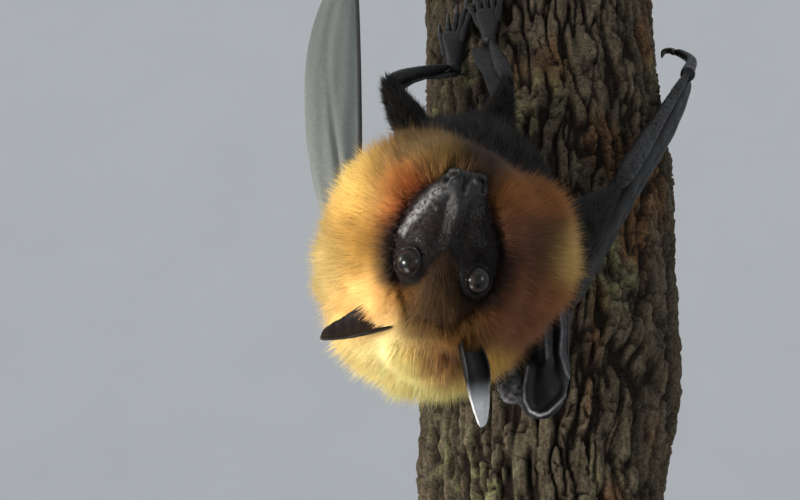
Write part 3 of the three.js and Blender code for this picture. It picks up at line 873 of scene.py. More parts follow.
def coat_colour(places, mantle):
    """The colour of the fur at each place. Where `mantle` is 0 it is the body's dark fur."""
    view = seen(places)
    total = np.full(len(places), 0.03)
    colour = total[:, None] * MANTLE
    for side, up, away, reach, shade in MARKINGS.values():
        off = (view - (side, up, away)) * (1, 1, DEPTH_SHARE)
        weight = np.exp(-(off**2).sum(1) / reach**2)
        total += weight
        colour += weight[:, None] * shade
    colour /= total[:, None]
    return DARK_FUR + (colour - DARK_FUR) * np.asarray(mantle)[:, None]


# %% Which part of the body each point of the skin belongs to
skin_part = body_part[nearest_index(sunk, points)]
part_name = np.array(PARTS)[skin_part]
on_face = is_head > 0.5
inside_mask = mask_depth(ahead, right)
mask_spread = np.interp(ahead, (12, 20), (5, 2.2))  # how far the black runs on to the cheek
masked = smoothstep(-2.5, 1.5, inside_mask) * (1 - smoothstep(0.25, 1, off_head / mask_spread))

# %% How long the fur is
MASK_FUR, LONGEST_CROWN_FUR = 1.5, 13
MANTLE_DIPS = [(24, 44, 9), (12, 52, 9), (41, -29, 11)]  # side, up and reach where the ruff is thin
head_length = MASK_FUR + (LONGEST_CROWN_FUR - MASK_FUR) * smoothstep(0, 18, -inside_mask)
fur_length = np.where(on_face, head_length, FUR_LENGTH[skin_part])
fur_length *= 1 - 0.4 * beside_face(points) * ~on_face
view = seen(points)
for side, up, reach in MANTLE_DIPS:
    gap = np.hypot(view[:, 0] - side, view[:, 1] - up)
    fur_length *= 1 - 0.42 * mound(gap, 0, reach)
fur_length *= 0.74 + 0.52 * (0.6 * value_noise(points, 13, 41) + 0.4 * value_noise(points, 6, 42))
fur_length = relax(fur_length, skin_edges, 6)[:, 0]
print("fur from", round(fur_length.min(), 1), "to", round(fur_length.max(), 1), "mm long")

# %% Paint the skin
def write_colours(piece, name, colours):
    rows = np.ones((len(colours), 4), np.float32)
    rows[:, :3] = colours
    attribute = piece.data.color_attributes.new(name, "FLOAT_COLOR", "POINT")
    attribute.data.foreach_set("color", rows.ravel())


def flattened(view):
    """Where each place looks to be: its side and up, at the head's distance."""
    return view[:, :2] / (1 + view[:, 2:] * MM / CAMERA_REACH)


# Pale grey flecks along the left upper lip: a painted highlight of its wet shine, placed as the camera sees
# the lip.
LIP_HIGHLIGHT_GREY = linear(176, 173, 172)
LIP_HIGHLIGHT_LINE = [(-3, 31.5), (-7.6, 27), (-12.4, 21), (-15.8, 16)]  # painted highlight along the left lip, as seen
NAKED_PARTS = ("forearm_left", "forearm_right", "shin_left", "shin_right")
MANTLE_PARTS = ("head", "jaw", "neck_ruff")
shanks = np.isin(part_name, NAKED_PARTS)
naked = np.maximum(masked, relax(shanks, skin_edges, 6)[:, 0])
mantle = relax(np.isin(part_name, MANTLE_PARTS), skin_edges, 10)[:, 0]
under_fur = coat_colour(points, mantle) * 0.4
lip_highlight_band = mound(distance_to_line(flattened(view), LIP_HIGHLIGHT_LINE), 0, 1.7) * is_head
pale = lip_highlight_band * smoothstep(0.1, 0.8, value_noise(points, 0.9, 51))
bare = BLACK_SKIN + (LIP_HIGHLIGHT_GREY - BLACK_SKIN) * (0.42 * pale)[:, None]
write_colours(skin, "Coat", under_fur + (bare - under_fur) * naked[:, None])
write_colours(skin, "Naked", np.repeat(naked[:, None], 3, 1))

# %% Skin finish
skin_material, tree, shader = start_material("black_skin", Specular_IOR_Level=0.28)
places = object_places(tree)
mottle = ramp(tree, noise(tree, places, 420.0), (0.3, (0.7, 0.7, 0.7)), (0.75, (1.25, 1.22, 1.2)))
toned(tree, shader, stored(tree, "Coat")["Color"], mottle)
bare_roughness = levels(tree, noise(tree, places, 900.0), 0.35, 0.65, 0.34, 0.6)
fur_share = levels(tree, stored(tree, "Naked")["Fac"], 0, 1, 0.5, 0)
join(tree, worked(tree, "ADD", bare_roughness, fur_share), shader.inputs["Roughness"])
wrinkles = add(tree, "TexVoronoi", {"feature": "DISTANCE_TO_EDGE"}, Scale=1700.0)
join(tree, places, wrinkles.inputs["Vector"])
creases = levels(tree, wrinkles.outputs["Distance"], 0.0, 0.25, 0.0, 1.0)
bump(tree, shader, creases, 0.2, 0.00015)
wear(skin, skin_material)

# %% [markdown]
# ## Eyes
# A flying fox's eye is a large dark brown ball under a clear, wet cornea. Each is a ball whose
# front third bulges a little, coloured in rings round the gaze: a black pupil, a brown iris with
# fine spokes, and a dark rim under the lids. A coat on the shader gives the wet gloss.

# %% Eyeballs
PUPIL, IRIS = 30, 48  # degrees from the gaze
EYE_RINGS, EYE_SIDES = 64, 72


def eyeball(hand):
    centre, gaze, front, across = eye_frame(hand)
    angle = np.linspace(0, math.pi, EYE_RINGS)[1:-1]
    turn = np.linspace(0, 2 * math.pi, EYE_SIDES, endpoint=False)
    bulge = EYE_RADIUS + 0.35 * mound(np.degrees(angle), 0, 30)
    along = np.cos(angle) * bulge
    off = np.sin(angle) * bulge
    circle = np.cos(turn)[:, None] * front + np.sin(turn)[:, None] * across
    ring_points = centre + along[:, None, None] * gaze + off[:, None, None] * circle
    piece = loft("eyeball_" + hand, ring_points)
    seen_angle = np.concatenate((np.repeat(np.degrees(angle), EYE_SIDES), (0, 180)))
    spokes = np.concatenate((np.tile(turn, len(angle)), (0, 0)))
    on_circle = np.stack((np.cos(spokes), np.sin(spokes), spokes * 0), 1)
    fibre = 0.8 + 0.4 * value_noise(on_circle, 0.09, 2)
    iris = linear(26, 15, 10) * fibre[:, None]
    colour = np.where((seen_angle < PUPIL)[:, None], linear(4, 3, 3), iris)
    rim = smoothstep(IRIS - 10, IRIS + 4, seen_angle)[:, None]
    write_colours(piece, "Rings", colour + (linear(16, 10, 8) - colour) * rim)
    dress(piece, eye_material, "eye", "eye_" + hand)
    return piece


eye_material, tree, shader = start_material(
    "wet_eye", Roughness=0.35, Coat_Weight=0.45, Coat_Roughness=0.04, Specular_IOR_Level=0.15
)
cloud = ramp(tree, noise(tree, object_places(tree), 600.0), (0.2, (0.85,) * 3), (0.8, (1.1,) * 3))
toned(tree, shader, stored(tree, "Rings")["Color"], cloud)
eyes = [eyeball(hand) for hand in ("left", "right")]
print("eyeball points:", len(eyes[0].data.vertices))

# %% [markdown]
# ## The coat
# Fur is made of solid tufts, because particle hair is lost when a model is exported. One tuft is
# a thin three-sided spike, so the coat can afford very many. The roots are scattered over the
# skin by a seeded random choice. The tufts follow the lie of the coat, which runs back from the
# face and out over the mantle, and up the body towards the tail, and neighbours lean together in
# locks. Every tuft carries a small patch of the skin's own unwrap at its root, so a baked texture
# finds the right colour.

# %% Where the ears stand
EARS = {  # root, tip, and the way that the hollow side faces
    "left": (on_head(-19, -13, 10), np.array((-46.5, 18.5, -14.5)), (-0.1, -0.9, 0.1)),
    "right": (on_head(-19, 13, 10), np.array((13.4, 36.5, -42.5)), (0.55, -0.8, -0.1)),
}

# %% The lie of the coat
def limb_direction(start, end):
    return unit(np.array(end, float) - start)


SHOULDER = {"right": (30, 42, 42), "left": (-28, 46, 52)}
ELBOW = {"right": (80, 68, 124), "left": (-56, 76, 152)}
WRIST = {"right": (137, 100, 262), "left": (-26, 52, 12)}
LIE = {part: np.array((0, 0, 1.0)) for part in PARTS}
for hand in HAND_SIGN:
    LIE["upper_arm_" + hand] = limb_direction(SHOULDER[hand], ELBOW[hand])
    LIE["forearm_" + hand] = limb_direction(ELBOW[hand], WRIST[hand])
points = from_frame(read_points(skin))
normals = read_normals(skin)
from_face = unit(points - on_head(10, 0, 5))
aside = 0.6 * np.sign(right) * smoothstep(1, 8, side_distance)
backward = unit(-AHEAD + aside[:, None] * RIGHT)
lie = np.array([LIE[part] for part in PARTS])[skin_part]
lie = np.where(np.isin(part_name, MANTLE_PARTS)[:, None], from_face, lie)
lie = np.where((on_face & (inside_mask > -3))[:, None], backward, lie)
EAR_REACH, EAR_FUR = 6.5, 8  # how far round an ear its own fur grows, and how long
for root, tip, _ in EARS.values():
    near_ear = np.exp(-(np.linalg.norm(points - root, axis=1) / EAR_REACH) ** 4)[:, None]
    lie = lie + (unit(tip - root) * 1.4 - lie) * near_ear
    fur_length = fur_length + (EAR_FUR - fur_length) * near_ear[:, 0]
lie = relax(lie, skin_edges, 14)
lie = unit(lie - (lie * normals).sum(1)[:, None] * normals)
smooth_normals = unit(relax(normals, skin_edges, 4))
cheek = beside_face(points) * ~on_face

# %% Triangles of the skin, to scatter roots on
skin.data.calc_loop_triangles()
corner_points = read_rows(skin.data.loop_triangles, "vertices", 3, np.int32)
corner_loops = read_rows(skin.data.loop_triangles, "loops", 3, np.int32)
skin_map = read_rows(skin.data.uv_layers["OFBake"].data, "uv", 2)
first, second, third = (points[corner_points[:, k]] for k in range(3))
triangle_area = np.linalg.norm(np.cross(second - first, third - first), axis=1) / 2
print("skin area:", round(triangle_area.sum() / 100), "square centimetres")

# %% Grow one piece of the coat
PATCH = 0.0015  # half of a tuft's patch on the map
TUFT_FACES = np.array([(2, 1, 0), (0, 1, 3), (1, 2, 3), (2, 0, 3)])
TUFT_PATCH = PATCH * np.array([(-1, -1), (1, -1), (0, -0.5), (0, 1)])
LOCK_SIZE, LOCK_PULL = 10, 0.45  # tufts in a lock, and how far their tips lean together
STRAY = 0.23  # how far single tufts stray from the lie
UNEVEN_LIFT = 26  # degrees between the flattest and the steepest patches of the coat
SUNK_ROOT = 0.25  # millimetres that each tuft starts below the skin
ROOT_TINT = np.array((0.5, 0.36, 0.26))  # the fur is darker and redder at its roots
CHEEK_ROOTS = 0.8  # and less so on the cheeks
MASK_HAIR = linear(19, 17, 17)


def locks(roots, tips, pull, rng):
    """Leans each tip towards that of the nearest lock's leader."""
    leaders = rng.choice(len(roots), max(1, len(roots) // LOCK_SIZE), replace=False)
    leader_of = leaders[nearest_index(roots[leaders], roots)]
    aim = tips[leader_of] + 0.3 * (roots - roots[leader_of])
    return tips + (aim - tips) * pull[:, None], leader_of


def grow(name, count, chosen, width, lift, seed):
    """Plants `count` tufts on the chosen points of the skin. Lift is in degrees off the skin,
    at the root and towards the tip."""
    rng = np.random.default_rng(seed)
    weight = triangle_area * chosen[corner_points].mean(1)
    triangle = rng.choice(len(corner_points), count, p=weight / weight.sum())
    share = np.sort(rng.random((count, 2)), axis=1)
    share = np.stack((share[:, 0], share[:, 1] - share[:, 0], 1 - share[:, 1]), 1)

    def at_root(values):
        corner_share = share.reshape(count, 3, *(1,) * (values.ndim - 1))
        return (values[corner_points[triangle]] * corner_share).sum(1)

    root = at_root(points)
    out = unit(at_root(smooth_normals))
    along = unit(at_root(lie))
    length = at_root(fur_length) * rng.uniform(0.72, 1.15, count)
    swirl = value_noise(root, 9, seed) - 0.5
    stray = rng.normal(0, STRAY, (count, 3))
    along = unit(along + 0.9 * swirl[:, None] * np.cross(out, along) + stray)
    lumpy = UNEVEN_LIFT * (value_noise(root, 4.5, seed + 1) - 0.5)
    low, high = (np.radians(angle + lumpy) for angle in lift)
    half = (length / 2)[:, None]
    rise, run = np.sin(low) + np.sin(high), np.cos(low) + np.cos(high)
    stem = rise[:, None] * out + run[:, None] * along
    tip, leader_of = locks(root, root + half * stem, LOCK_PULL * rng.uniform(0.4, 1.0, count), rng)
    stem = unit(tip - root)
    flat = unit(np.cross(stem, out))
    deep = np.cross(stem, flat)
    half_width = width / 2 * np.sqrt(length / length.mean()) * rng.uniform(0.7, 1.25, count)
    rows = np.empty((count, 4, 3))
    for k in range(3):
        angle = 2 * math.pi * k / 3
        ring = half_width[:, None] * (math.cos(angle) * flat + math.sin(angle) * deep)
        rows[:, k] = root - SUNK_ROOT * stem + ring
    rows[:, 3] = tip
    shade = coat_colour(root + 0.75 * (tip - root), at_root(mantle))
    dark = at_root(masked)[:, None]
    shade = shade + (MASK_HAIR - shade) * dark * 0.95
    lumps = 0.78 + 0.44 * value_noise(root, 3.5, seed + 2)
    lock_shade = 0.85 + 0.3 * scatter(leader_of[:, None].astype(float), 4)
    own = rng.uniform(0.8, 1.2, count) * lock_shade
    shade = shade * (lumps * own)[:, None]
    root_share = ROOT_TINT + (CHEEK_ROOTS - ROOT_TINT) * at_root(cheek)[:, None]
    colours = np.empty((count, 4, 3))
    colours[:, :3] = (shade * root_share)[:, None]
    colours[:, 3] = np.minimum(shade * 1.2, 0.95)
    patch = (skin_map[corner_loops[triangle]] * share[..., None]).sum(1)[:, None] + TUFT_PATCH
    tuft_piece(name, rows, colours, patch)


def tuft_piece(name, rows, colours, patch):
    """Makes one piece of the coat: four points, four colours and four places on the map a tuft."""
    count = len(rows)
    corners = (TUFT_FACES[None] + 4 * np.arange(count)[:, None, None]).reshape(-1)
    mesh = bpy.data.meshes.new(name)
    mesh.vertices.add(count * 4)
    mesh.vertices.foreach_set("co", to_frame(rows.reshape(-1, 3)).astype(np.float32).ravel())
    mesh.loops.add(len(corners))
    mesh.loops.foreach_set("vertex_index", corners.astype(np.int32))
    mesh.polygons.add(len(corners) // 3)
    mesh.polygons.foreach_set("loop_start", np.arange(0, len(corners), 3, dtype=np.int32))
    mesh.polygons.foreach_set("use_smooth", np.ones(len(corners) // 3, bool))
    mesh.update(calc_edges=True)
    piece = bpy.data.objects.new(name, mesh)
    bpy.context.scene.collection.objects.link(piece)
    write_colours(piece, "Coat", colours.reshape(-1, 3))
    uv = mesh.uv_layers.new(name="OFBake")
    uv.data.foreach_set("uv", patch.reshape(-1, 2)[corners].astype(np.float32).ravel())
    dress(piece, coat_material, "coat")
    print(name, "tufts:", count)


coat_material, tree, shader = start_material(
    "coat", Roughness=0.6, Specular_IOR_Level=0.14, Sheen_Weight=0.02, Sheen_Roughness=0.4,
)
strands = noise(tree, object_places(tree), 1500.0)
strand_tone = ramp(tree, strands, (0.3, (0.86,) * 3), (0.7, (1.1,) * 3))
toned(tree, shader, stored(tree, "Coat")["Color"], strand_tone)

# %% Where each piece of the coat grows
view = seen(points)
on_ruff = np.isin(part_name, MANTLE_PARTS) & ~on_face
facing = view[:, 2] < 24
dense = 1 + 2 * mound(off_head, 1, 4) * (ahead < -8)  # no gap where crown and mantle meet
crown_fur = on_face & (inside_mask < 1.0) & (ahead < 16)
face_fur = on_face * smoothstep(-2.5, -1, inside_mask) * (1 - smoothstep(14, 34, ahead))
face_fur *= (0.3 + 0.7 * dorsal) * (1 - np.minimum(1, 1.6 * lip_highlight_band))
legs = np.isin(part_name, ("thigh_left", "thigh_right"))
arms = np.isin(part_name, ("upper_arm_left", "upper_arm_right"))
COAT = [  # name, tufts, where, width, lift at root and tip
    ("coat_mantle_left", 48500, on_ruff & facing & (view[:, 0] < -15), 0.27, (60, 30)),
    ("coat_mantle_middle", 44000, on_ruff & facing & (np.abs(view[:, 0]) <= 17), 0.27, (60, 30)),
    ("coat_mantle_right", 48500, on_ruff & facing & (view[:, 0] > 15), 0.27, (60, 30)),
    ("coat_mantle_back", 38000, on_ruff & ~facing, 0.5, (50, 24)),
    ("coat_crown", 48500, crown_fur, 0.22, (42, 20)),
    ("coat_face", 19000, face_fur, 0.16, (14, 5)),
    ("coat_chest", 38000, part_name == "chest", 0.5, (38, 15)),
    ("coat_belly", 36000, (part_name == "belly") | legs, 0.45, (34, 12)),
    ("coat_arms", 30000, arms, 0.34, (26, 8)),
    ("coat_shanks", 6000, shanks, 0.22, (12, 4)),
]
FIRST_SEED = 11
for seed, (name, count, where, width, lift) in enumerate(COAT, FIRST_SEED):
    grow(name, count, where * dense, width, lift, seed)

# %% [markdown]
# ## Ears
# Each ear is a thin leaf of skin, wide low down and pointed at the tip, rolled about its length
# into a cup. A sheet is laid over that shape as a grid of points, given a wall by Solidify and
# smoothed by Subdivision Surface. The left ear points aside; the right one shows its inner side,
# and its rim folds back near the tip. The right ear's black skin is painted pale grey towards the
# tip, a painted reflection of the sky.

# %% A thin sheet with a wall
def sheet(name, place, across, along, thickness):
    """A sheet over place(u, v), u across and v along, both from 0 to 1, in millimetres."""
    v, u = np.meshgrid(np.linspace(0, 1, along), np.linspace(0, 1, across), indexing="ij")
    piece = new_piece(name, to_frame(place(u.ravel(), v.ravel())), grid_faces(along, across))
    modify(piece, "SOLIDIFY", thickness=thickness * MM, offset=0)
    modify(piece, "SUBSURF", levels=1, render_levels=1)
    outward(piece)
    piece.data.polygons.foreach_set("use_smooth", np.ones(len(piece.data.polygons), bool))
    return piece


def paint(piece, colour_of):
    """Stores a colour on every point from a function of its place in millimetres."""
    write_colours(piece, "Shade", colour_of(from_frame(read_points(piece))))


def shade_material(name, grain_scale, grain, roughness, wrinkle_scale, wrinkle_depth, **shader_values):
    """A finish that takes its colour from the mesh, with grain, uneven gloss and fine wrinkles."""
    material, tree, shader = start_material(name, **shader_values)
    places = object_places(tree)
    specks = noise(tree, places, grain_scale)
    grain_tone = ramp(tree, specks, (0.3, (1 - grain,) * 3), (0.7, (1 + grain,) * 3))
    toned(tree, shader, stored(tree, "Shade")["Color"], grain_tone)
    gloss = levels(tree, noise(tree, places, grain_scale * 0.4), 0.3, 0.7, *roughness)
    join(tree, gloss, shader.inputs["Roughness"])
    wrinkle = noise(tree, object_places(tree, (1, 1, 0.45)), wrinkle_scale, 5, 0.65)
    bump(tree, shader, wrinkle, 0.5, wrinkle_depth)
    return material


# %% Both ears
EAR_WIDTH = {"left": 17.5, "right": 11}
EAR_ROLL = {"left": 2.5, "right": 3.5}  # radians from rim to rim
EAR_COLOURS = {  # low down, at the tip, and where along the ear one turns into the other
    "left": (linear(19, 10, 8), linear(42, 29, 24), 0.85, 1.0),
    # The right ear's pale grey towards the tip is a painted reflection of the sky on its black skin.
    "right": (linear(16, 13, 12), linear(190, 190, 190), 0.45, 0.8),
}


def ear(hand):
    root, tip, facing = EARS[hand]
    length = tip - root
    across = unit(np.cross(length, facing))
    hollow = unit(np.cross(across, length))

    def place(u, v):
        leaf = np.maximum(0, np.sin(math.pi * (0.2 + 0.8 * v))) ** 0.55
        half = EAR_WIDTH[hand] / 2 * leaf + 0.15
        rim = 1 - 0.35 * np.abs(2 * u - 1) ** 6 * mound(v, 0.75, 0.25)
        turn = (u - 0.5) * EAR_ROLL[hand] * rim
        ribs = 0.12 * np.sin(46 * v) * np.cos(math.pi * (u - 0.5))
        off = half * np.sin(turn)
        rise = half * (1 - np.cos(turn)) * 0.85 + ribs
        return root + v[:, None] * length + off[:, None] * across + rise[:, None] * hollow

    piece = sheet("ear_leaf_" + hand, place, 17, 30, 0.8)

    def colour_of(points):
        along = np.clip((points - root) @ length / (length @ length), 0, 1)[:, None]
        dark, pale, start, full = EAR_COLOURS[hand]
        return dark + (pale - dark) * smoothstep(start, full, along)

    paint(piece, colour_of)
    dress(piece, ear_material, "bare_skin", "ear_" + hand)
    return piece


ear_material = shade_material("ear_skin", 500.0, 0.16, (0.4, 0.6), 700.0, 0.0003, Specular_IOR_Level=0.2)
ears = [ear(hand) for hand in EARS]
print("ear points:", [len(piece.data.vertices) for piece in ears])

# %% [markdown]
# ## Perch: bark over a cut length of trunk
# The bark has narrow ridges that run up the trunk, part and meet again, with dark furrows
# between them and flakes that stand on small steps. A smooth random number, stretched up the
# trunk, gives the furrows where it passes its middle value, and a rounded-down one gives the
# steps. The heights move the points of a fine grid, closer together on the front, and the same
# numbers give the colours.

# %% The trunk's measures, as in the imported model
LOG_LOW, LOG_HIGH = -42, 345
LOG_AXIS = ((-42, 30, 84, 200, 292, 345), (44, 46, 53, 57, 56, 56))
LOG_RADIUS = ((-42, 30, 84, 200, 292, 345), (57, 58.5, 65, 67.5, 65.5, 67))
LOG_DEPTH, LOG_LEAN = 195, -0.268
BARK_RELIEF = 2.2


def log_axis(height):
    return np.interp(height, *LOG_AXIS), LOG_DEPTH + LOG_LEAN * height


def log_radius(height):
    return np.interp(height, *LOG_RADIUS)


def bark_front(side, height, clearance):
    """How far back the front of the bark lies at a place seen from the front."""
    radius = log_radius(height) + BARK_RELIEF + clearance
    middle, depth = log_axis(height)
    return depth - np.sqrt(np.maximum(0, radius**2 - (side - middle) ** 2))


# %% Furrows in the bark
def furrows(around):
    """The rise of each place from furrow to ridge, 0 to 1, and the step its flake stands on."""
    drift = value_noise(around * (1, 1, 0.4), 9, 3) - 0.5
    bent = around * (1, 1, 0.13) + 5 * drift[:, None] * np.array((1, 1, 0))
    level = 0.6 * value_noise(bent, 5.2, 4) + 0.4 * value_noise(bent * (1, 1, 1.6), 2.9, 5)
    rise = smoothstep(0.012, 0.11, np.abs(level - 0.5))
    split = value_noise(around * (0.5, 0.5, 1), 6.5, 9) + 0.25 * value_noise(around, 2.5, 10)
    rise *= 0.3 + 0.7 * smoothstep(0.0, 0.06, np.abs(split - 0.62))
    stepped = 4 * value_noise(around * (1, 1, 0.25), 4, 17)
    stepped += 1.2 * value_noise(around * (1, 1, 0.7), 1.9, 18)
    step = np.floor(stepped) + smoothstep(0.72, 1.0, stepped - np.floor(stepped))
    return rise, step / 4


# %% Grid of the log
BARK_ROWS, BARK_COLUMNS = 268, 312
BARK_MEAN_RADIUS = 62
FRONT_PACKING = 0.32
even = np.linspace(-math.pi, math.pi, BARK_COLUMNS, endpoint=False)
packed = -math.pi / 2 + even - FRONT_PACKING * np.sin(even)  # closer together where y is lowest
height, angle = np.meshgrid(np.linspace(LOG_LOW, LOG_HIGH, BARK_ROWS), packed, indexing="ij")
height, angle = height.ravel(), angle.ravel()
around = np.stack((BARK_MEAN_RADIUS * np.cos(angle), BARK_MEAN_RADIUS * np.sin(angle), height), 1)
rise, step = furrows(around)
broad = value_noise(around * (1, 1, 0.3), 15, 1)
fine = value_noise(around * (1, 1, 0.5), 1.7, 2)
relief = -4.2 + rise * (3.0 + 2.6 * step) + 1.4 * (broad - 0.5) + 1.7 * (fine - 0.5)
relief = np.minimum(relief, BARK_RELIEF - 0.1)
middle, depth_back = log_axis(height)
radius = log_radius(height) + relief
bark_side, bark_depth = middle + radius * np.cos(angle), depth_back + radius * np.sin(angle)
bark_points = np.stack((bark_side, bark_depth, height), 1)

# %% Colours of the bark
FURROW_WITH_PAINTED_SHADE = linear(30, 24, 19)
LOW_PLATE, HIGH_PLATE = linear(54, 47, 38), linear(96, 86, 69)
LICHEN, RUST = linear(132, 134, 92), linear(124, 84, 52)
plate_colour = LOW_PLATE + (HIGH_PLATE - LOW_PLATE) * step[:, None]
lichen = smoothstep(0.6, 0.8, value_noise(around, 26, 12))
lichen *= smoothstep(0.4, 0.7, value_noise(around, 4, 13))
plate_colour += (LICHEN - plate_colour) * (0.55 * lichen)[:, None]
rusty = smoothstep(0.62, 0.82, value_noise(around * (1, 1, 0.4), 18, 14))
plate_colour += (RUST - plate_colour) * (0.5 * rusty)[:, None]
# The colour darkens down into each furrow: the bark's darker furrows, with painted shade in the recesses.
light = smoothstep(0.1, 1.0, rise) * (0.5 + 0.7 * fine)
bark_colour = FURROW_WITH_PAINTED_SHADE + (plate_colour - FURROW_WITH_PAINTED_SHADE) * light[:, None]

# %% The log with its saw-cut ends
END_RINGS = 9
bark_grid = bark_points.reshape(BARK_ROWS, BARK_COLUMNS, 3)
shares = np.linspace(0.03, 0.985, END_RINGS)


def end_rings(rim):
    """Rings from near the middle of a cut end out to its rim, level with the cut."""
    centre = rim.mean(0)
    return centre + (rim - centre) * shares[:, None, None]


log_grid = np.concatenate((end_rings(bark_grid[0]), bark_grid, end_rings(bark_grid[-1])[::-1]))
row_count = len(log_grid)
log_faces = grid_faces(row_count, BARK_COLUMNS, closed=True).tolist()
log_faces.append(list(range(BARK_COLUMNS))[::-1])
log_faces.append(list(range((row_count - 1) * BARK_COLUMNS, row_count * BARK_COLUMNS)))
bark_log = new_piece("bark_log", to_frame(log_grid.reshape(-1, 3)), log_faces)
outward(bark_log)
ring_share = np.concatenate((shares, np.ones(BARK_ROWS), shares[::-1]))
cut_rows = END_RINGS * BARK_COLUMNS
face_row = np.arange(len(log_faces)) // BARK_COLUMNS
is_cut = (face_row < END_RINGS) | (face_row >= END_RINGS + BARK_ROWS - 1)
bark_log.data.polygons.foreach_set("material_index", is_cut.astype(np.int32))
wood = np.tile(linear(186, 154, 112), (cut_rows, 1))
write_colours(bark_log, "Shade", np.concatenate((wood, bark_colour, wood)))
write_colours(bark_log, "Ring", np.repeat(ring_share, BARK_COLUMNS)[:, None].repeat(3, 1))
print("log triangles:", sum(len(face.vertices) - 2 for face in bark_log.data.polygons))

# %% Bark and cut wood
RING_WANDER = 0.12
RING_WAVES = 170.0  # radians of the wave from the middle to the rim
bark_material = shade_material("bark", 700.0, 0.6, (0.75, 0.95), 600.0, 0.004, Specular_IOR_Level=0.1)
cut_material, tree, shader = start_material("cut_wood", Roughness=0.8, Specular_IOR_Level=0.2)
ring = stored(tree, "Ring")["Fac"]
bent = worked(tree, "MULTIPLY_ADD", noise(tree, object_places(tree), 60.0), RING_WANDER, ring)
wave = worked(tree, "SINE", worked(tree, "MULTIPLY", bent, RING_WAVES))
year = levels(tree, wave, -1, 1, 0, 1)
early, late, latest = linear(150, 112, 72), linear(196, 162, 116), linear(206, 176, 132)
year_colour = ramp(tree, year, (0.0, early), (0.5, late), (1.0, latest))
edge_dark = ramp(tree, ring, (0.9, (1, 1, 1)), (0.97, linear(110, 84, 60)))
toned(tree, shader, year_colour, edge_dark)
bump(tree, shader, year, 0.3, 0.0003)
bark_log.data.materials.append(bark_material)
bark_log.data.materials.append(cut_material)
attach(bark_log, "root")
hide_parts("perch_log")

# %% [markdown]
# ## Wings
# A folded wing is thin dark skin pleated between the finger bones. The left hand stands up
# beside the body as a narrow blade, with a bone along its inner edge; its dark skin is painted
# light grey as a painted reflection of the sky. The right hand hangs behind the mantle as a
# bundle of fingers, and its tip shows below as a glossy loop whose fold edges carry painted
# highlights. Blade and bundle are closed forms with the pleats in their outline; the slack
# membranes between arm and flank, and along the legs, are thin sheets.

# %% Membrane finishes
membrane_material = shade_material(
    "wing_membrane", 650.0, 0.14, (0.4, 0.6), 1400.0, 0.0003, Specular_IOR_Level=0.25
)


def dress_membrane(piece, colour_of, *nodes):
    paint(piece, colour_of)
    dress(piece, membrane_material, "membrane", *nodes)


# %% Left blade
BLADE = [  # height, inner edge, outer edge, depth, thickness
    (20, -30.5, -39.5, 50, 6.8),
    (60, -33, -46.5, 52, 6.4),
    (110, -37.5, -59.5, 54, 5.8),
    (160, -40, -67.5, 55, 5.4),
    (215, -43, -70.5, 55, 4.5),
    (262, -46, -65.5, 54, 3.6),
    (296, -49, -54, 53, 2.6),
]
blade_rows = through(BLADE, 110)
blade_turn = np.linspace(0, 2 * math.pi, 84, endpoint=False)
blade_share = (1 - np.cos(blade_turn)) / 2
blade_front = np.sin(blade_turn) > 0
rings = np.empty((len(blade_rows), len(blade_turn), 3))
for index, (height, inner, outer, deep, thick) in enumerate(blade_rows):
    along = index / (len(blade_rows) - 1)
    body_half = thick / 2 * np.abs(np.sin(blade_turn)) ** 0.55
    crease = 1.9 * mound(blade_share, 0.42 + 0.5 * (along - 0.3), 0.055) * mound(along, 0.33, 0.26)
    folds = 0.35 * np.sin(9 * blade_share + 3 * along) + 0.2 * np.sin(23 * blade_share + 9 * along)
    pleats = 0.9 * np.sin(30 * blade_share + 2 * along)
    front = -body_half + crease * (thick > 3) + folds * np.abs(np.sin(blade_turn)) ** 0.3
    back = body_half - (pleats + 0.9) * np.abs(np.sin(blade_turn))
    edge_bone = 0.9 * mound(blade_share, 0.0, 0.07)
    off = np.where(blade_front, front, back) * (1 + edge_bone)
    rings[index, :, 0] = inner + (outer - inner) * blade_share
    rings[index, :, 1] = deep - 3 * (1 - (2 * blade_share - 1) ** 2) + off
    rings[index, :, 2] = height
blade = loft("wing_blade", rings)
inner_edge = np.stack((blade_rows[:, 0], blade_rows[:, 1]))


def blade_colour_and_sheen(points):
    edge = np.interp(points[:, 2], *inner_edge)
    from_edge = (edge - points[:, 0])[:, None]
    # The grey is a painted reflection of the sky on the blade's dark skin.
    grey = linear(114, 117, 112) * (0.85 + 0.3 * value_noise(points * (1, 1, 0.2), 6, 21))[:, None]
    bone = linear(58, 54, 54)
    return bone + (grey - bone) * smoothstep(1.4, 2.6, from_edge)


dress_membrane(blade, blade_colour_and_sheen, "wing_blade_left")

# %% Right fingers and wing tip
FINGERS = [  # place, half width and half depth, as for every limb
    (137, 108, 264, 4.6, 4.6),
    (115, 99, 207, 6.7, 6.2),
    (88, 90, 149, 8.2, 6.7),
    (66, 89, 103, 9.2, 6.7),
    (50, 84, 62, 8.3, 5.8),
]
WING_TIP = [
    (53, 85.4, 71, 7.2, 5),
    (49, 83.8, 61.6, 8.1, 5.6),
    (44.5, 77, 36, 9.3, 5.3),
    (40, 70, 12, 11.8, 5.3),
    (38.5, 66, -4, 10.3, 4.3),
    (37, 63, -17, 6, 2.8),
]


def finger_folds(along, turn):
    """Five fingers side by side: the outline swells over each and dips between."""
    swell = 0.14 * np.abs(np.cos(2.5 * turn + 1.5 * along)) ** 0.6
    return 0.86 + swell + 0.02 * np.sin(60 * along + 3 * turn)


def tip_folds(along, turn):
    hollow = 0.3 * mound(np.sin(turn), -1, 0.5) * smoothstep(0.1, 0.5, along)
    return 0.95 - hollow + 0.02 * np.sin(7 * turn + 14 * along)


